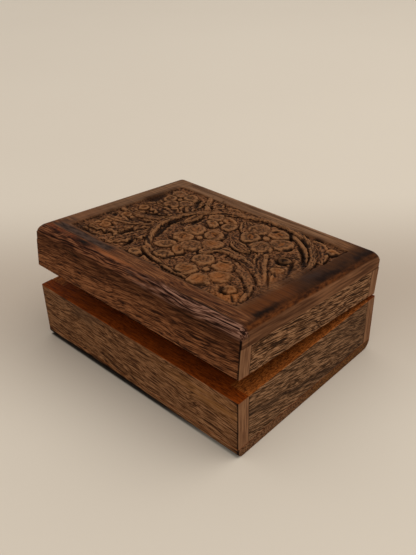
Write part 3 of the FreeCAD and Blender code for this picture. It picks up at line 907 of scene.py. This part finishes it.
# %% Vines
vine([(-25, 3), (-31, -1.5), (-38, -5), (-45, -6), (-51, -5.4)], 4.4, 0.3)
vine([(-26, -6), (-32, -12.5), (-39, -16.5), (-48, -18)], 3.6, 0.4)
vine([(-25, 13), (-30, 18.5), (-33.5, 25), (-35, 32)], 3.4, 0.4)
vine([(-20, 23), (-25.5, 29), (-31, 37)], 4.0, 0.2)
vine([(-8, 31), (-15, 27), (-21, 21), (-25.5, 12), (-26.8, 0), (-24, -9), (-19, -17), (-12.5, -24.5),
      (-6, -28)], 4.2, 0.2)
vine([(-12, -27), (-5, -30.4), (2, -31.6), (10, -33.6), (20, -33.6)], 2.8, 0.3)
vine([(-10, 31.5), (-3, 33.5), (4, 37), (12, 38), (20, 37.6), (28, 35.4), (36, 30.8), (42, 25), (46.5, 18.8),
      (49.6, 11), (51, 0), (50, -13)], 4.4, 0.2)
vine([(24, 32.5), (31, 29.5), (38, 24.5), (44, 17), (47.5, 9), (48.5, 0)], 3.0, 0.2)
vine([(8.5, -10.5), (10.5, -5), (15, -2.6), (22, -3.4), (29, -5.4), (35, -8), (41, -11.8), (46, -16),
      (49.5, -19.6)], 6.0, 0.45)
vine([(26, -10), (33, -13.2), (40, -17.5), (45, -23), (48, -31)], 4.6, 0.4, -0.2)
vine([(30, 7), (35, -1), (41, -8), (48.5, -17)], 3.0, 0.3)
print("vines carved")

# %% Flowers
flower((-40.6, 24), [(-45.4, 22.0, "fold"), (-46, 29.6, "ring"), (-38.2, 29.8, "fold"), (-35.2, 22.4, "fold"),
                     (-39.4, 17.2, "fold")], 9.0, 1.6)
flower((-6.8, 18.2), [(-12.2, 21.2, "fold"), (-5.4, 22.6, "slit"), (-1.2, 17.4, "fold"),
                      (-9.0, 14.6, "ring")], 9.0, 1.4)
flower((-3.5, -20.5), [(-8.2, -17.5, "fold"), (-0.8, -17.4, "slit"), (-1.6, -25.0, "fold")], 10.4, 0.0)
flower((19, 20.6), [(11.0, 26.0, "fold"), (20.2, 28.2, "slit"), (27.8, 20.6, "ring"), (22.8, 11.8, "fold"),
                    (13.0, 16.6, "slit")], 11.4, 2.0)
flower((-2.4, -1.6), [(-9.6, 3, "fold"), (0.4, 5.2, "slit"), (6.4, -2.8, "ring"), (0.6, -10, "fold"),
                      (-8.2, -6.4, "slit")], 10.6, 1.7)
flower((20.8, -22), [(14.2, -16.6, "fold"), (24.0, -14.8, "ring"), (29.4, -22.8, "slit"),
                     (24.8, -30.4, "fold"), (15.0, -28.0, "fold")], 10.4, 1.8)
BUDS = (
    # place, and the point that it turns away from
    (48, 31.4, (42, 33)), (38.2, 9.2, (33, 12)), (41.8, -0.8, (37, 3)), (38.8, -27.8, (35, -25)),
    (-12.2, -32.8, (-19, -31)), (-44.6, -8.8, (-38, -8)), (-42.2, -24, (-36, -20)), (-45.6, 3.6, (-39, 4)),
)
for x, y, heart in BUDS:
    flower(heart, [(x, y, "fold")], 6.2, 0.0)
print("flowers carved")

# %% [markdown]
# Cuts and stains
#
# Deep cuts run between the motifs and across them, and are darkened with wax and painted shade. They could be
# scattered by chance, but the real ones follow the leaves, so each is a line through a few points. Only the
# small nicks that the chisel left all over are scattered. Last come soft patches of orange, dark brown and
# nearly black.

# %% Dark cuts on the left
LEFT_CUTS = (
    # width and depth of the cut, places along it
    (4.2, 0.5, (-43.5, -2), (-40, -0.6), (-35, 2), (-29, 6)),
    (3.8, 0.45, (-42, -9.4), (-38, -9), (-33, -8), (-27.5, -5.5)),
    (3.4, 0.5, (-31, -15), (-30.4, -19), (-30.5, -23), (-31, -28)),
    (4.6, 0.5, (-52, 27), (-51, 21), (-50, 15), (-48.4, 10.6)),
    (2.8, 0.5, (-36.4, 34.4), (-33, 30), (-30, 25), (-27.4, 20)),
    (3.2, 0.4, (-35, 12.6), (-31.4, 11), (-28, 9.4)),
    (2.6, 0.45, (-26, -12), (-27.6, -16.5), (-27.6, -21)),
    (2.2, 0.95, (-21.8, 12.8), (-23, 8), (-23.6, 2), (-22.6, -3), (-20.6, -8), (-18, -14), (-15, -18)),
    (1.6, 0.6, (-17.6, 20.5), (-16.6, 14), (-16, 9), (-15.4, 5.5)),
    (1.4, 0.6, (-16.5, 23.5), (-14, 26.5), (-11, 28.6), (-8.5, 30)),
    (1.6, 0.6, (-36.5, 33.5), (-33, 30), (-30.6, 26.5), (-28.5, 23.5), (-26.5, 19.5)),
    (1.6, 0.8, (-25, 30), (-22.4, 28.6), (-21, 26.8)),
    (1.2, 0.5, (-20, 29.6), (-17.5, 29.6), (-15, 29.6)),
    (1.6, 0.5, (-19, 36.4), (-17.6, 34), (-16.4, 31.6)),
    (1.8, 0.9, (-40, 15), (-37.6, 13.4), (-35.6, 12.2)),
    (1.6, 0.6, (-31.6, 16.4), (-28.8, 15), (-25.6, 14)),
    (2.2, 0.5, (-37.4, 11), (-36.8, 6.5), (-35.2, 3)),
    (2.6, 0.7, (-43, -0.8), (-40, 0), (-36, 2.2), (-31, 5)),
    (1.2, 0.6, (-34.6, 3.6), (-32, 4), (-30, 6)),
    (1.4, 0.9, (-45.4, -10.4), (-41.5, -10.8), (-38.4, -11.6), (-35.2, -12.6)),
    (1.6, 0.8, (-50.8, -10.4), (-49.2, -12.2), (-47.2, -14.4)),
    (2.6, 0.45, (-38, -8.4), (-34, -8), (-29.5, -6.6)),
    (2.8, 1.0, (-32.6, -20.2), (-30.6, -20), (-28.6, -17.4)),
    (1.9, 1.0, (-30.6, -18), (-30.4, -22.5), (-31.2, -27.6)),
    (1.6, 1.0, (-21.8, -22), (-21.6, -25.6), (-20.6, -28.4), (-20.4, -31.6), (-20, -34.6)),
    (1.4, 0.6, (-22.4, -14), (-19.4, -18.6), (-15, -21.6), (-10, -24.2)),
    (1.7, 1.0, (-47, -35.4), (-44.2, -33.8), (-41.6, -34.6), (-36.4, -34)),
    (1.5, 0.8, (-37.4, -26.8), (-35.8, -29), (-35.4, -32.4)),
    (1.6, 0.9, (-31, -36), (-27, -36.4), (-22.6, -35.2)),
    (1.3, 0.9, (-13.6, -28.2), (-9.6, -30), (-5, -31.4), (1, -33)),
    (1.1, 0.8, (-6, -28.6), (-2.6, -29.4), (1, -29.6)),
    (1.5, 1.0, (-8.8, -31.4), (-7.8, -33.4), (-8.8, -35.6)),
    (1.4, 0.6, (-42, -20.4), (-39.8, -22), (-39, -24.4)),
    (1.6, 0.5, (-47.6, 21.4), (-45.4, 20.2), (-42.6, 20)),
    (1.4, 0.4, (-49, 34), (-46, 33.6), (-41.6, 33)),
)
for width, depth, *points in LEFT_CUTS:
    gouge(width, depth, points)
print("cuts on the left:", len(LEFT_CUTS))

# %% Dark cuts on the right
RIGHT_CUTS = (
    # width and depth of the cut, places along it
    (3.4, 0.4, (39.5, 12), (43, 8.6), (46, 4), (48.6, -1), (50.6, -8)),
    (1.4, 0.7, (-3, 28), (0.4, 31.2), (5, 33.6), (10, 34.6), (15, 35.4), (20, 35.2)),
    (1.7, 0.9, (18.5, 35.2), (23, 33.8), (26, 30.4), (28.4, 27)),
    (2.2, 0.7, (28, 34), (32, 31.8), (35.6, 29.2), (39.5, 26.4)),
    (1.8, 0.9, (30, 26.4), (35, 24.4), (40, 20.6), (44, 15.6), (47, 11), (49.4, 5)),
    (1.5, 0.9, (34, 38.6), (37, 37.2), (40.4, 36.8)),
    (1.2, 0.7, (10, 10.6), (13.4, 9.4), (17, 9), (20, 7.4), (22.6, 6.4)),
    (1.1, 0.6, (1.6, 14), (3.8, 9.6), (6, 5)),
    (1.5, 0.9, (5, 5.4), (5.8, 4.2), (6, 2.8)),
    (1.0, 0.5, (9.6, -1.8), (12.4, -0.4), (17, 0), (21.6, -0.4)),
    (1.0, 0.6, (18.4, -4.4), (18.2, -6.4), (19, -8.4)),
    (1.3, 0.9, (22.6, -5), (28, -5.8), (31, -7), (34.6, -8)),
    (1.6, 0.9, (35, -9.4), (40, -13.6), (44.6, -17.6)),
    (0.9, 0.7, (28, 5.4), (30, 0.4), (33, -3.4), (36, -6.4)),
    (0.9, 0.7, (41, -4.6), (44, -10), (47, -14.6), (49.2, -18)),
    (1.3, 0.9, (40, 13.2), (42.6, 9), (45, 4), (47, 0), (48.6, -4), (49.8, -9)),
    (1.2, 0.9, (42, -2.8), (44.2, -5.2), (46.4, -6)),
    (1.2, 0.8, (19.4, -10.6), (20.8, -12), (24.4, -10.8)),
    (1.1, 0.8, (19.4, -13), (19.6, -15), (20.2, -17)),
    (1.1, 0.8, (26.4, -10.6), (28.8, -13.6), (30.6, -17.2)),
    (1.0, 0.7, (30.6, -15.6), (35, -17), (39.4, -18.8)),
    (1.2, 0.6, (40.4, -20.6), (43.6, -22.8), (46.6, -26)),
    (1.4, 0.8, (33, -26.4), (31.6, -27.4), (29.6, -28.2)),
    (1.1, 0.7, (11.6, -32.8), (14, -32.6), (16.6, -31.4)),
    (1.2, 0.7, (1, -32.8), (5, -32.2), (9.4, -31)),
    (1.6, 1.0, (4.6, -15), (3.9, -18.6), (2.6, -23), (1.7, -26.6), (-0.6, -29.4)),
    (1.0, 0.6, (4.4, -10.2), (7, -12.6), (9.2, -15.4)),
    (1.2, 0.6, (41, -29.4), (44, -32), (46.6, -34.6)),
    (1.0, 0.6, (7, -8.8), (5.6, -12.4), (5, -15)),
    (1.0, 0.5, (7, 26), (8.4, 22.4), (9, 19)),
)
for width, depth, *points in RIGHT_CUTS:
    gouge(width, depth, points)
BENDS = (
    # middle and radius of the circle, first and last angle in degrees, width and depth of the cut
    (28.6, 20.4, 4.6, -65, 35, 1.6, 1.0), (24.4, 10.6, 3.6, -50, 20, 1.4, 0.8),
    (-8.4, 14.4, 3.9, 220, 330, 1.4, 1.0), (-9.6, -7.4, 4.2, 220, 320, 1.2, 0.8),
    (6.8, -2.6, 4.7, -60, 30, 1.7, 0.9), (37.9, 8.8, 3.0, 180, 350, 2.2, 1.0),
    (38.4, 9.4, 3.0, 30, 175, 1.3, 0.7), (41.4, -0.8, 2.6, 60, 190, 1.5, 0.8),
    (38.2, -27.8, 3.2, 150, 330, 1.8, 1.0), (24.6, -30.6, 4.4, -85, -5, 1.7, 1.0),
    (29.6, -22.2, 4.4, -20, 55, 1.3, 0.9), (47.2, 31.2, 3.4, -80, 30, 1.9, 0.9),
    (18.8, 29.2, 1.6, 60, 250, 1.3, 0.7),
)
for bend in BENDS:
    crescent(*bend)
print("cuts on the right:", len(RIGHT_CUTS) + len(BENDS))

# %% Chisel marks and stains
NICKS = 420
ORANGE = (
    # place, reach
    (-8.2, -6.4, 3.4), (-9.6, 3, 2.6), (6.0, -2.6, 3.0), (24, -15, 4.2), (29.4, -22.8, 3.6), (24, -30.2, 3.8),
    (15, -27.6, 3.0), (20.4, 26.4, 2.4), (39.2, -27, 2.6), (42, -0.6, 2.2), (47.4, 32.6, 2.4), (41, -32, 6.0),
    (-0.8, -18, 3.0), (-42.6, -23.5, 4.5), (-45.2, -9, 2.6), (-46, 3.5, 3.6), (-5, 22, 3.0), (0.4, 5.6, 2.6),
)
STRONG_ORANGE = (
    (24, -15, 3.6), (24.5, -30.6, 3.2), (29.6, -23.6, 4.0), (43, -1, 1.8), (40.4, -27, 1.9), (48, 32.6, 1.8),
    (41, -32.5, 5.5), (44.5, -9, 2.6), (44, -30, 4.0),
)
NEARLY_BLACK_PATCHES = (
    (38.2, 8.4, 3.4), (46.4, -2.4, 1.6), (39.6, 0.4, 1.5), (36.8, -29.4, 2.0), (47.6, 28.4, 1.8),
    (33, 18.4, 1.6),
)
BROWNED = (
    # place, reach, strength
    (-53, 18, 5.0, 0.9), (-41, -0.5, 3.2, 0.8), (-33, 9, 4.0, 0.6), (-34, -8, 4.4, 0.6), (-30, -21, 4.0, 0.7),
    (-37, 5, 4.5, 0.5), (-51, -20, 4.0, 0.5), (-21, -29, 2.6, 0.7), (-23, 6, 2.6, 0.7), (-16.4, 12, 2.4, 0.5),
    (34, 30, 3.2, 0.6), (44, 16, 3.0, 0.6), (38, 7, 3.6, 0.7), (46, 2, 3.0, 0.6), (-43, -33.5, 3.0, 0.7),
    (-30, 24, 3.0, 0.4), (-40, 36.5, 3.0, 0.4), (36.5, 37, 3.0, 0.7), (-52, 30, 3.0, 0.5),
    (-53, 14, 6.0, 1.0), (-37, 3, 5.0, 0.9), (-31, -22, 4.5, 0.9), (-28, 22, 3.4, 0.7), (43, 7, 4.0, 0.9),
    (38, 9, 4.0, 0.9), (-48, -33, 4.0, 0.8), (-22, 4, 2.8, 0.8), (-46, 14, 4.0, 0.7), (-36, -12, 4.0, 0.8),
    (-42, 2, 20.0, 0.5), (43, 6, 13.0, 0.35), (-55, 22, 4.0, 0.9), (-55, 9, 3.0, 0.7), (-54, -12, 3.0, 0.6),
    (-55, -24, 3.4, 0.6), (-57, -34, 4.0, 1.0), (-54, 33, 3.0, 0.7), (52, 8, 4.0, 0.8),
    (51, -6, 3.0, 0.7), (50, -24, 3.0, 0.5),
)
chisel = np.random.default_rng(8)
for _ in range(NICKS):
    middle = chisel.uniform((FIELD_LEFT + 1, FIELD_FRONT + 1), (FIELD_RIGHT - 1, FIELD_BACK - 1))
    angle = chisel.uniform(0, math.pi)
    half = chisel.uniform(0.6, 1.5) * np.array([math.cos(angle), math.sin(angle)])
    gouge(chisel.uniform(0.5, 0.8), chisel.uniform(0.1, 0.4), [middle - half, middle, middle + half], 0.4)
for values, patches, strength in ((orange, ORANGE, 0.6), (orange, STRONG_ORANGE, 1.0), (soot, NEARLY_BLACK_PATCHES, 0.85)):
    for patch in patches:
        tint(values, *patch, strength)
for patch in BROWNED:
    tint(brown, *patch)
print("deepest cut", round(float(relief.min()), 2), "mm, highest point", round(float(relief.max()), 2))

# %% [markdown]
# Worn right side
#
# On the right, hands have worn the carving flatter, and its long leaves run out into the border.
# Only the corner at the front right stays deep. Each form there could be cut lower from the start, but
# a few soft masks over the finished relief lower them all alike.

# %% Wear on the right
def ramp(places, start, end):
    """Eases from 0 at the start to 1 at the end."""
    return smooth((places - start) / (end - start))


deep_corner = ramp(x_grid, 33, 38) * ramp(y_grid, -20, -26)
rubbed = ramp(x_grid, 22, 32) * ramp(y_grid, 6, -2) * (1 - deep_corner)
flush = ramp(x_grid, 44, 51) * ramp(y_grid, 14, 6) * (1 - 0.7 * deep_corner)
relief *= (1 - 0.35 * rubbed) * (1 - 0.6 * flush)
soot *= (1 - 0.3 * rubbed) * (1 - 0.5 * flush)
darken(np.s_[:], 0.9 * marks * deep_corner * in_field)
edge_column = len(columns) - BORDER_LINES - ROUND_LINES
print("deepest carving left at the right edge:", round(float(relief[:, edge_column].min()), 2), "mm")

# %% [markdown]
# From relief to board
#
# The relief is now a height for every point of the grid. The rounded edge is added to it, and the outline is
# drawn down to the underside and closed, so that the board is one solid piece of wood.
# A bevel could round the edge, but it would cut across the grid, so the grid's own outer lines are bent.
# Sanding rounds the corners of the top more than its sides, and only breaks the upright edges.
# Then the numbers for the finish are kept on the mesh, and the board is turned into its place on the lid.

# %% Heights and edge
CORNER_ROUND = 1.0
DEEPEST = -2.3
rough = 0.05 * swell(x_grid, y_grid, 2.6, 6) + 0.05 * swell(x_grid, y_grid, 1.2, 7)
relief += rough * smooth(field_depth / 1.5)
relief[:] = np.clip(relief, DEEPEST, 0.0)
over_x = np.clip(BOARD_ROUND - HALF_LENGTH + np.abs(x_grid), 0, BOARD_ROUND)
over_y = np.clip(BOARD_ROUND - HALF_WIDTH + np.abs(y_grid), 0, BOARD_ROUND)
squareness = 2 + 6 * (np.maximum(over_x, over_y) / BOARD_ROUND) ** 6
over = np.minimum((over_x ** squareness + over_y ** squareness) ** (1 / squareness), BOARD_ROUND)
surface = LID_HEIGHT + relief - BOARD_ROUND + np.sqrt(BOARD_ROUND ** 2 - over ** 2)
past_x = np.clip(np.abs(x_grid) - HALF_LENGTH + CORNER_ROUND, 0, None)
past_y = np.clip(np.abs(y_grid) - HALF_WIDTH + CORNER_ROUND, 0, None)
pull = 1 - np.maximum(past_x, past_y) / np.maximum(np.hypot(past_x, past_y), TINY)
x_board = x_grid - np.sign(x_grid) * past_x * pull
y_board = y_grid - np.sign(y_grid) * past_y * pull
points = np.stack([x_board, y_board, surface], axis=-1)[row_of, column_of]
carved.data.vertices.foreach_set("co", points.ravel())
carved.data.update()
bpy.ops.object.mode_set(mode="EDIT")
bpy.ops.mesh.select_mode(type="EDGE")
bpy.ops.mesh.select_all(action="DESELECT")
bpy.ops.mesh.select_non_manifold()
bpy.ops.mesh.extrude_region_move(TRANSFORM_OT_translate={"value": (0, 0, BOARD_ROUND - BOARD_THICKNESS)})
bpy.ops.mesh.edge_face_add()
bpy.ops.mesh.select_all(action="SELECT")
bpy.ops.mesh.normals_make_consistent(inside=False)
bpy.ops.object.mode_set(mode="OBJECT")
bpy.ops.object.shade_smooth_by_angle(angle=math.radians(50))
print("board with", len(carved.data.vertices), "points")

# %% Marks kept for the finish
def blurred(values, reach):
    """Values averaged over a square neighbourhood of the grid."""
    side = 2 * reach + 1
    padded = np.pad(values, reach, mode="edge")
    return np.lib.stride_tricks.sliding_window_view(padded, (side, side)).mean(axis=(2, 3))


def keep(name, values):
    """Stores a value for each grid point on the mesh; points added later take 0."""
    stored = np.zeros(len(carved.data.vertices), np.float32)
    stored[:len(row_of)] = values[row_of, column_of]
    carved.data.attributes.new(name, "FLOAT", "POINT").data.foreach_set("value", stored)


keep("soot", soot)
keep("orange", orange * in_field)
keep("brown", brown * smooth((field_depth + 3.0) / 3.0))
keep("petals", petals_here)
# height above the nearby relief, which carries a painted highlight and painted shade in the finish
keep("stand", relief - blurred(relief, 5))
keep("field", in_field * (1 - 0.7 * flush))
lid_in_metres = Matrix.Scale(MM, 4) @ lid_to_world
carved.data.transform(lid_in_metres)
carved.data.update()
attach(carved, "lid")
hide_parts("lid_top_board")
print("carved board placed on the lid")

# %% [markdown]
# Finish of the carved board
#
# Dark wax and painted shade darken the cuts, and a painted highlight lightens the high places a warmer brown.
# The plain border shows the plank itself: paler behind and on the left, dark streaks on the right, and a few
# strong streaks of red heartwood along the front, with a painted grey sheen over its left part and a painted
# pink sheen on the right of the rounded front edge. Its front side matches the wall under it.
# One even brown would be simpler, but the carving is read by its dark cuts. So stains, painted shade and
# painted highlights are laid one over another, each where its mask allows it, and the finest come last.

# %% Carved wood: the border
TOP_PLANK = ((44, 24, 12), (86, 55, 33), (118, 80, 52), 1.4, 1.2, 0.35)
material, shader, coordinates = new_finish("carved_wood")
place = in_space(coordinates, LID_SPACE)
x, y, z = place.axes()
colour, height, tone = cut_wood(place, ALONG_LENGTH, 0, 200.0, TOP_PLANK)
streaky = place.noise(0.014, 1.1, 1.1, 2.0)
threads = place.noise(0.06, 1.3, 1.3, 1.0)
broad = (place.noise(0.02, 0.45, 0.45, 2.0) - 0.5) * x.ease(-53, -46)
mottled = place.noise(0.8, 0.3, 0.8, 3.0, 0.6)
patchy = place.noise(0.11, 0.11, 0.11, 2.0).ease(0.40, 0.58) * 0.65 + 0.35
stray = x + place.noise(0.09, 0.2, 0.09, 3.0) * 7.0 - 3.5
pale = x.ease(-44, -54).most(y.ease(32, 40) * x.ease(50, 30))
at_left = x.ease(-50, -52)
fibres = at_left.node("ShaderNodeMix", {}, {0: at_left, 2: threads, 3: place.noise(1.1, 0.05, 1.1)})
pale_wood = (fibres * 1.6 + streaky * 1.2 + broad * 3.2 - 0.93).between((66, 42, 26), (128, 94, 67))
right_wood = y.ease(0, -14).between((58, 32, 14), (80, 42, 16))
rounded = x.ease(60.8, 62.0) * 0.9
rounded_wood = mottled.ease(0.3, 0.7).between((40, 18, 7), (96, 52, 22))
end_strip = x.ease(HALF_LENGTH - 1.2, HALF_LENGTH - 0.5) * z.ease(LID_HEIGHT - 1.4, LID_HEIGHT - 2.6)
end_wood = place.noise(0.2, 0.05, 0.7, 3.0).ease(0.3, 0.7).between((70, 42, 25), (120, 81, 54))
colour = layered(
    colour,
    (pale * 0.75, pale_wood),
    (x.ease(-50, -54) * y.ease(-4, -26) * 0.5, (102, 62, 38)),
    (x.near(-56.5, 5) * y.near(-34.5, 6) * threads.ease(0.3, 0.5) * 0.9, (34, 23, 17)),
    (x.ease(49, 55) * 0.95, right_wood),
    (x.ease(50, 56) * threads.ease(0.42, 0.62) * 0.35, (26, 13, 7)),
    (stray.near(55.5, 4.5) * y.near(6, 12) * 0.6, (40, 31, 29)),
    (stray.near(60.0, 3.0) * y.near(-32, 26) * 0.95, BLACK),
    (stray.near(59.6, 4.6) * y.ease(-20, 0) * patchy * 0.95, (24, 11, 6)),
    (rounded, rounded_wood),
    (rounded * y.ease(5, 36) * 0.6, (44, 25, 14)),
    (end_strip, end_wood),
)
print("border coloured")

# %% Carved wood: the front edge
BORDER = ((40, 18, 8), (82, 47, 26), (120, 76, 45), 0.8, 1.5, 0.5)
# pinkish wood colour, used as a painted sheen on the rounded front edge
PINK_SHEEN = ((26, 12, 8), (84, 53, 39), (132, 95, 77), 1.6, 2.8, 0.5)
RED = ((20, 8, 5), (64, 34, 20), (116, 72, 46), 1.6, 2.8, 0.6)


def border_streak(start, end, level, width, strength):
    """A streak along the front border, between two places along it."""
    along = x.near((start + end) / 2, (end - start) / 2) * threads.ease(0.3, 0.5)
    return (y + wander - level).size().ease(width, width * 0.3) * along * strength


slope, offset, wood, stain, fine = WALLS["lid_front_wall"]
front_wood = stain(place, cut_wood(place, ALONG_LENGTH, slope, offset, wood, fine)[0])
border_wood = cut_wood(place, ALONG_LENGTH, 0, 290.0, BORDER)[0]
pink_sheen = cut_wood(place, ALONG_LENGTH, 1, 230.0, PINK_SHEEN)[0]
red = cut_wood(place, ALONG_LENGTH, 2, 260.0, RED)[0]
wander = place.noise(0.03, 0.03, 0.03, 2.0) * 3.0 - 1.5 + threads * 2.4 - 1.2
at_border = y.ease(-36.4, -38.4) * z.ease(LID_HEIGHT - 4.0, LID_HEIGHT - 2.0) * x.ease(62, 58)
turned_over = (y + HALF_WIDTH).ease(4.6, 2.8) * z.ease(LID_HEIGHT - 5.0, LID_HEIGHT - 2.2)
# painted sheen: a grey streak along the left part of the front border
grey_sheen_ends = (x + wander).ease(-61, -54) * (x + wander).ease(-16, -21)
grey_sheen_mask = (y + wander * 0.8 + 39.9).size().ease(3.0, 1.5) * grey_sheen_ends
grey_sheen = place.noise(0.14, 0.6, 0.6, 3.0, 0.65).ease(0.36, 0.64).between((20, 15, 14), (66, 49, 40))
red_streak = mottled.ease(0.35, 0.6).between((36, 11, 5), (98, 42, 16))
knot = (y + wander * 0.5 + 44.3).size().ease(1.6, 0.6) * x.near(-33, 11)
colour = layered(
    colour,
    (y.ease(-HALF_WIDTH + 0.8, -HALF_WIDTH + 0.2), front_wood),
    (at_border, border_wood),
    # the rounded front edge: red wood on the left, a painted pink sheen on the right
    (turned_over, x.ease(-8, 28).between(red, pink_sheen)),
    (grey_sheen_mask * 0.92, grey_sheen),
    (border_streak(-76, -8, -43.8, 1.7, 1.0), red_streak),
    (border_streak(-34, 10, -44.4, 1.3, 0.7), (138, 80, 44)),
    (knot, BLACK),
    (border_streak(4, 78, -44.3, 0.8, 0.95), BLACK),
    (dark_arris_line(x, y, place) * z.ease(LID_HEIGHT - 3.4, LID_HEIGHT - 4.2), BLACK),
)
print("front edge coloured")

# %% Carved wood: the field
def kept(name):
    """A number that was stored on the mesh."""
    return place.node("ShaderNodeAttribute", {"attribute_name": name}, {}, "Fac")


inside_field = kept("field")
stand = kept("stand")
mottle = place.noise(0.10, 0.10, 0.10, 3.0)
speckle = place.noise(0.9, 0.9, 0.9, 2.0, 0.7)
worn = (mottle - 0.5) * 2.6 + (speckle - 0.5) * 6.6 + 0.42
colour = layered(
    colour,
    (inside_field * 0.9, worn.between((30, 15, 7), (112, 71, 43))),
    (kept("petals") * 0.25, (106, 72, 43)),
    (kept("orange") * 0.65, (136, 80, 38)),
    (kept("brown") * 0.82, (36, 17, 6)),
    # painted highlight where a place stands above the relief round it, and painted shade where it lies below
    (stand.ease(0.04, 0.35) * inside_field * inside_field * 0.65, (134, 92, 58)),
    (stand.ease(-0.05, -0.45) * 0.6, (30, 15, 7)),
    # dark wax and painted shade of the cuts and moats
    (kept("soot").ease(0.15, 0.95) * 0.92, PORE_AND_SHADE_DARK),
)
polish(shader, colour, height, tone)
carved.data.materials.clear()
carved.data.materials.append(material)
print("carved board finished")
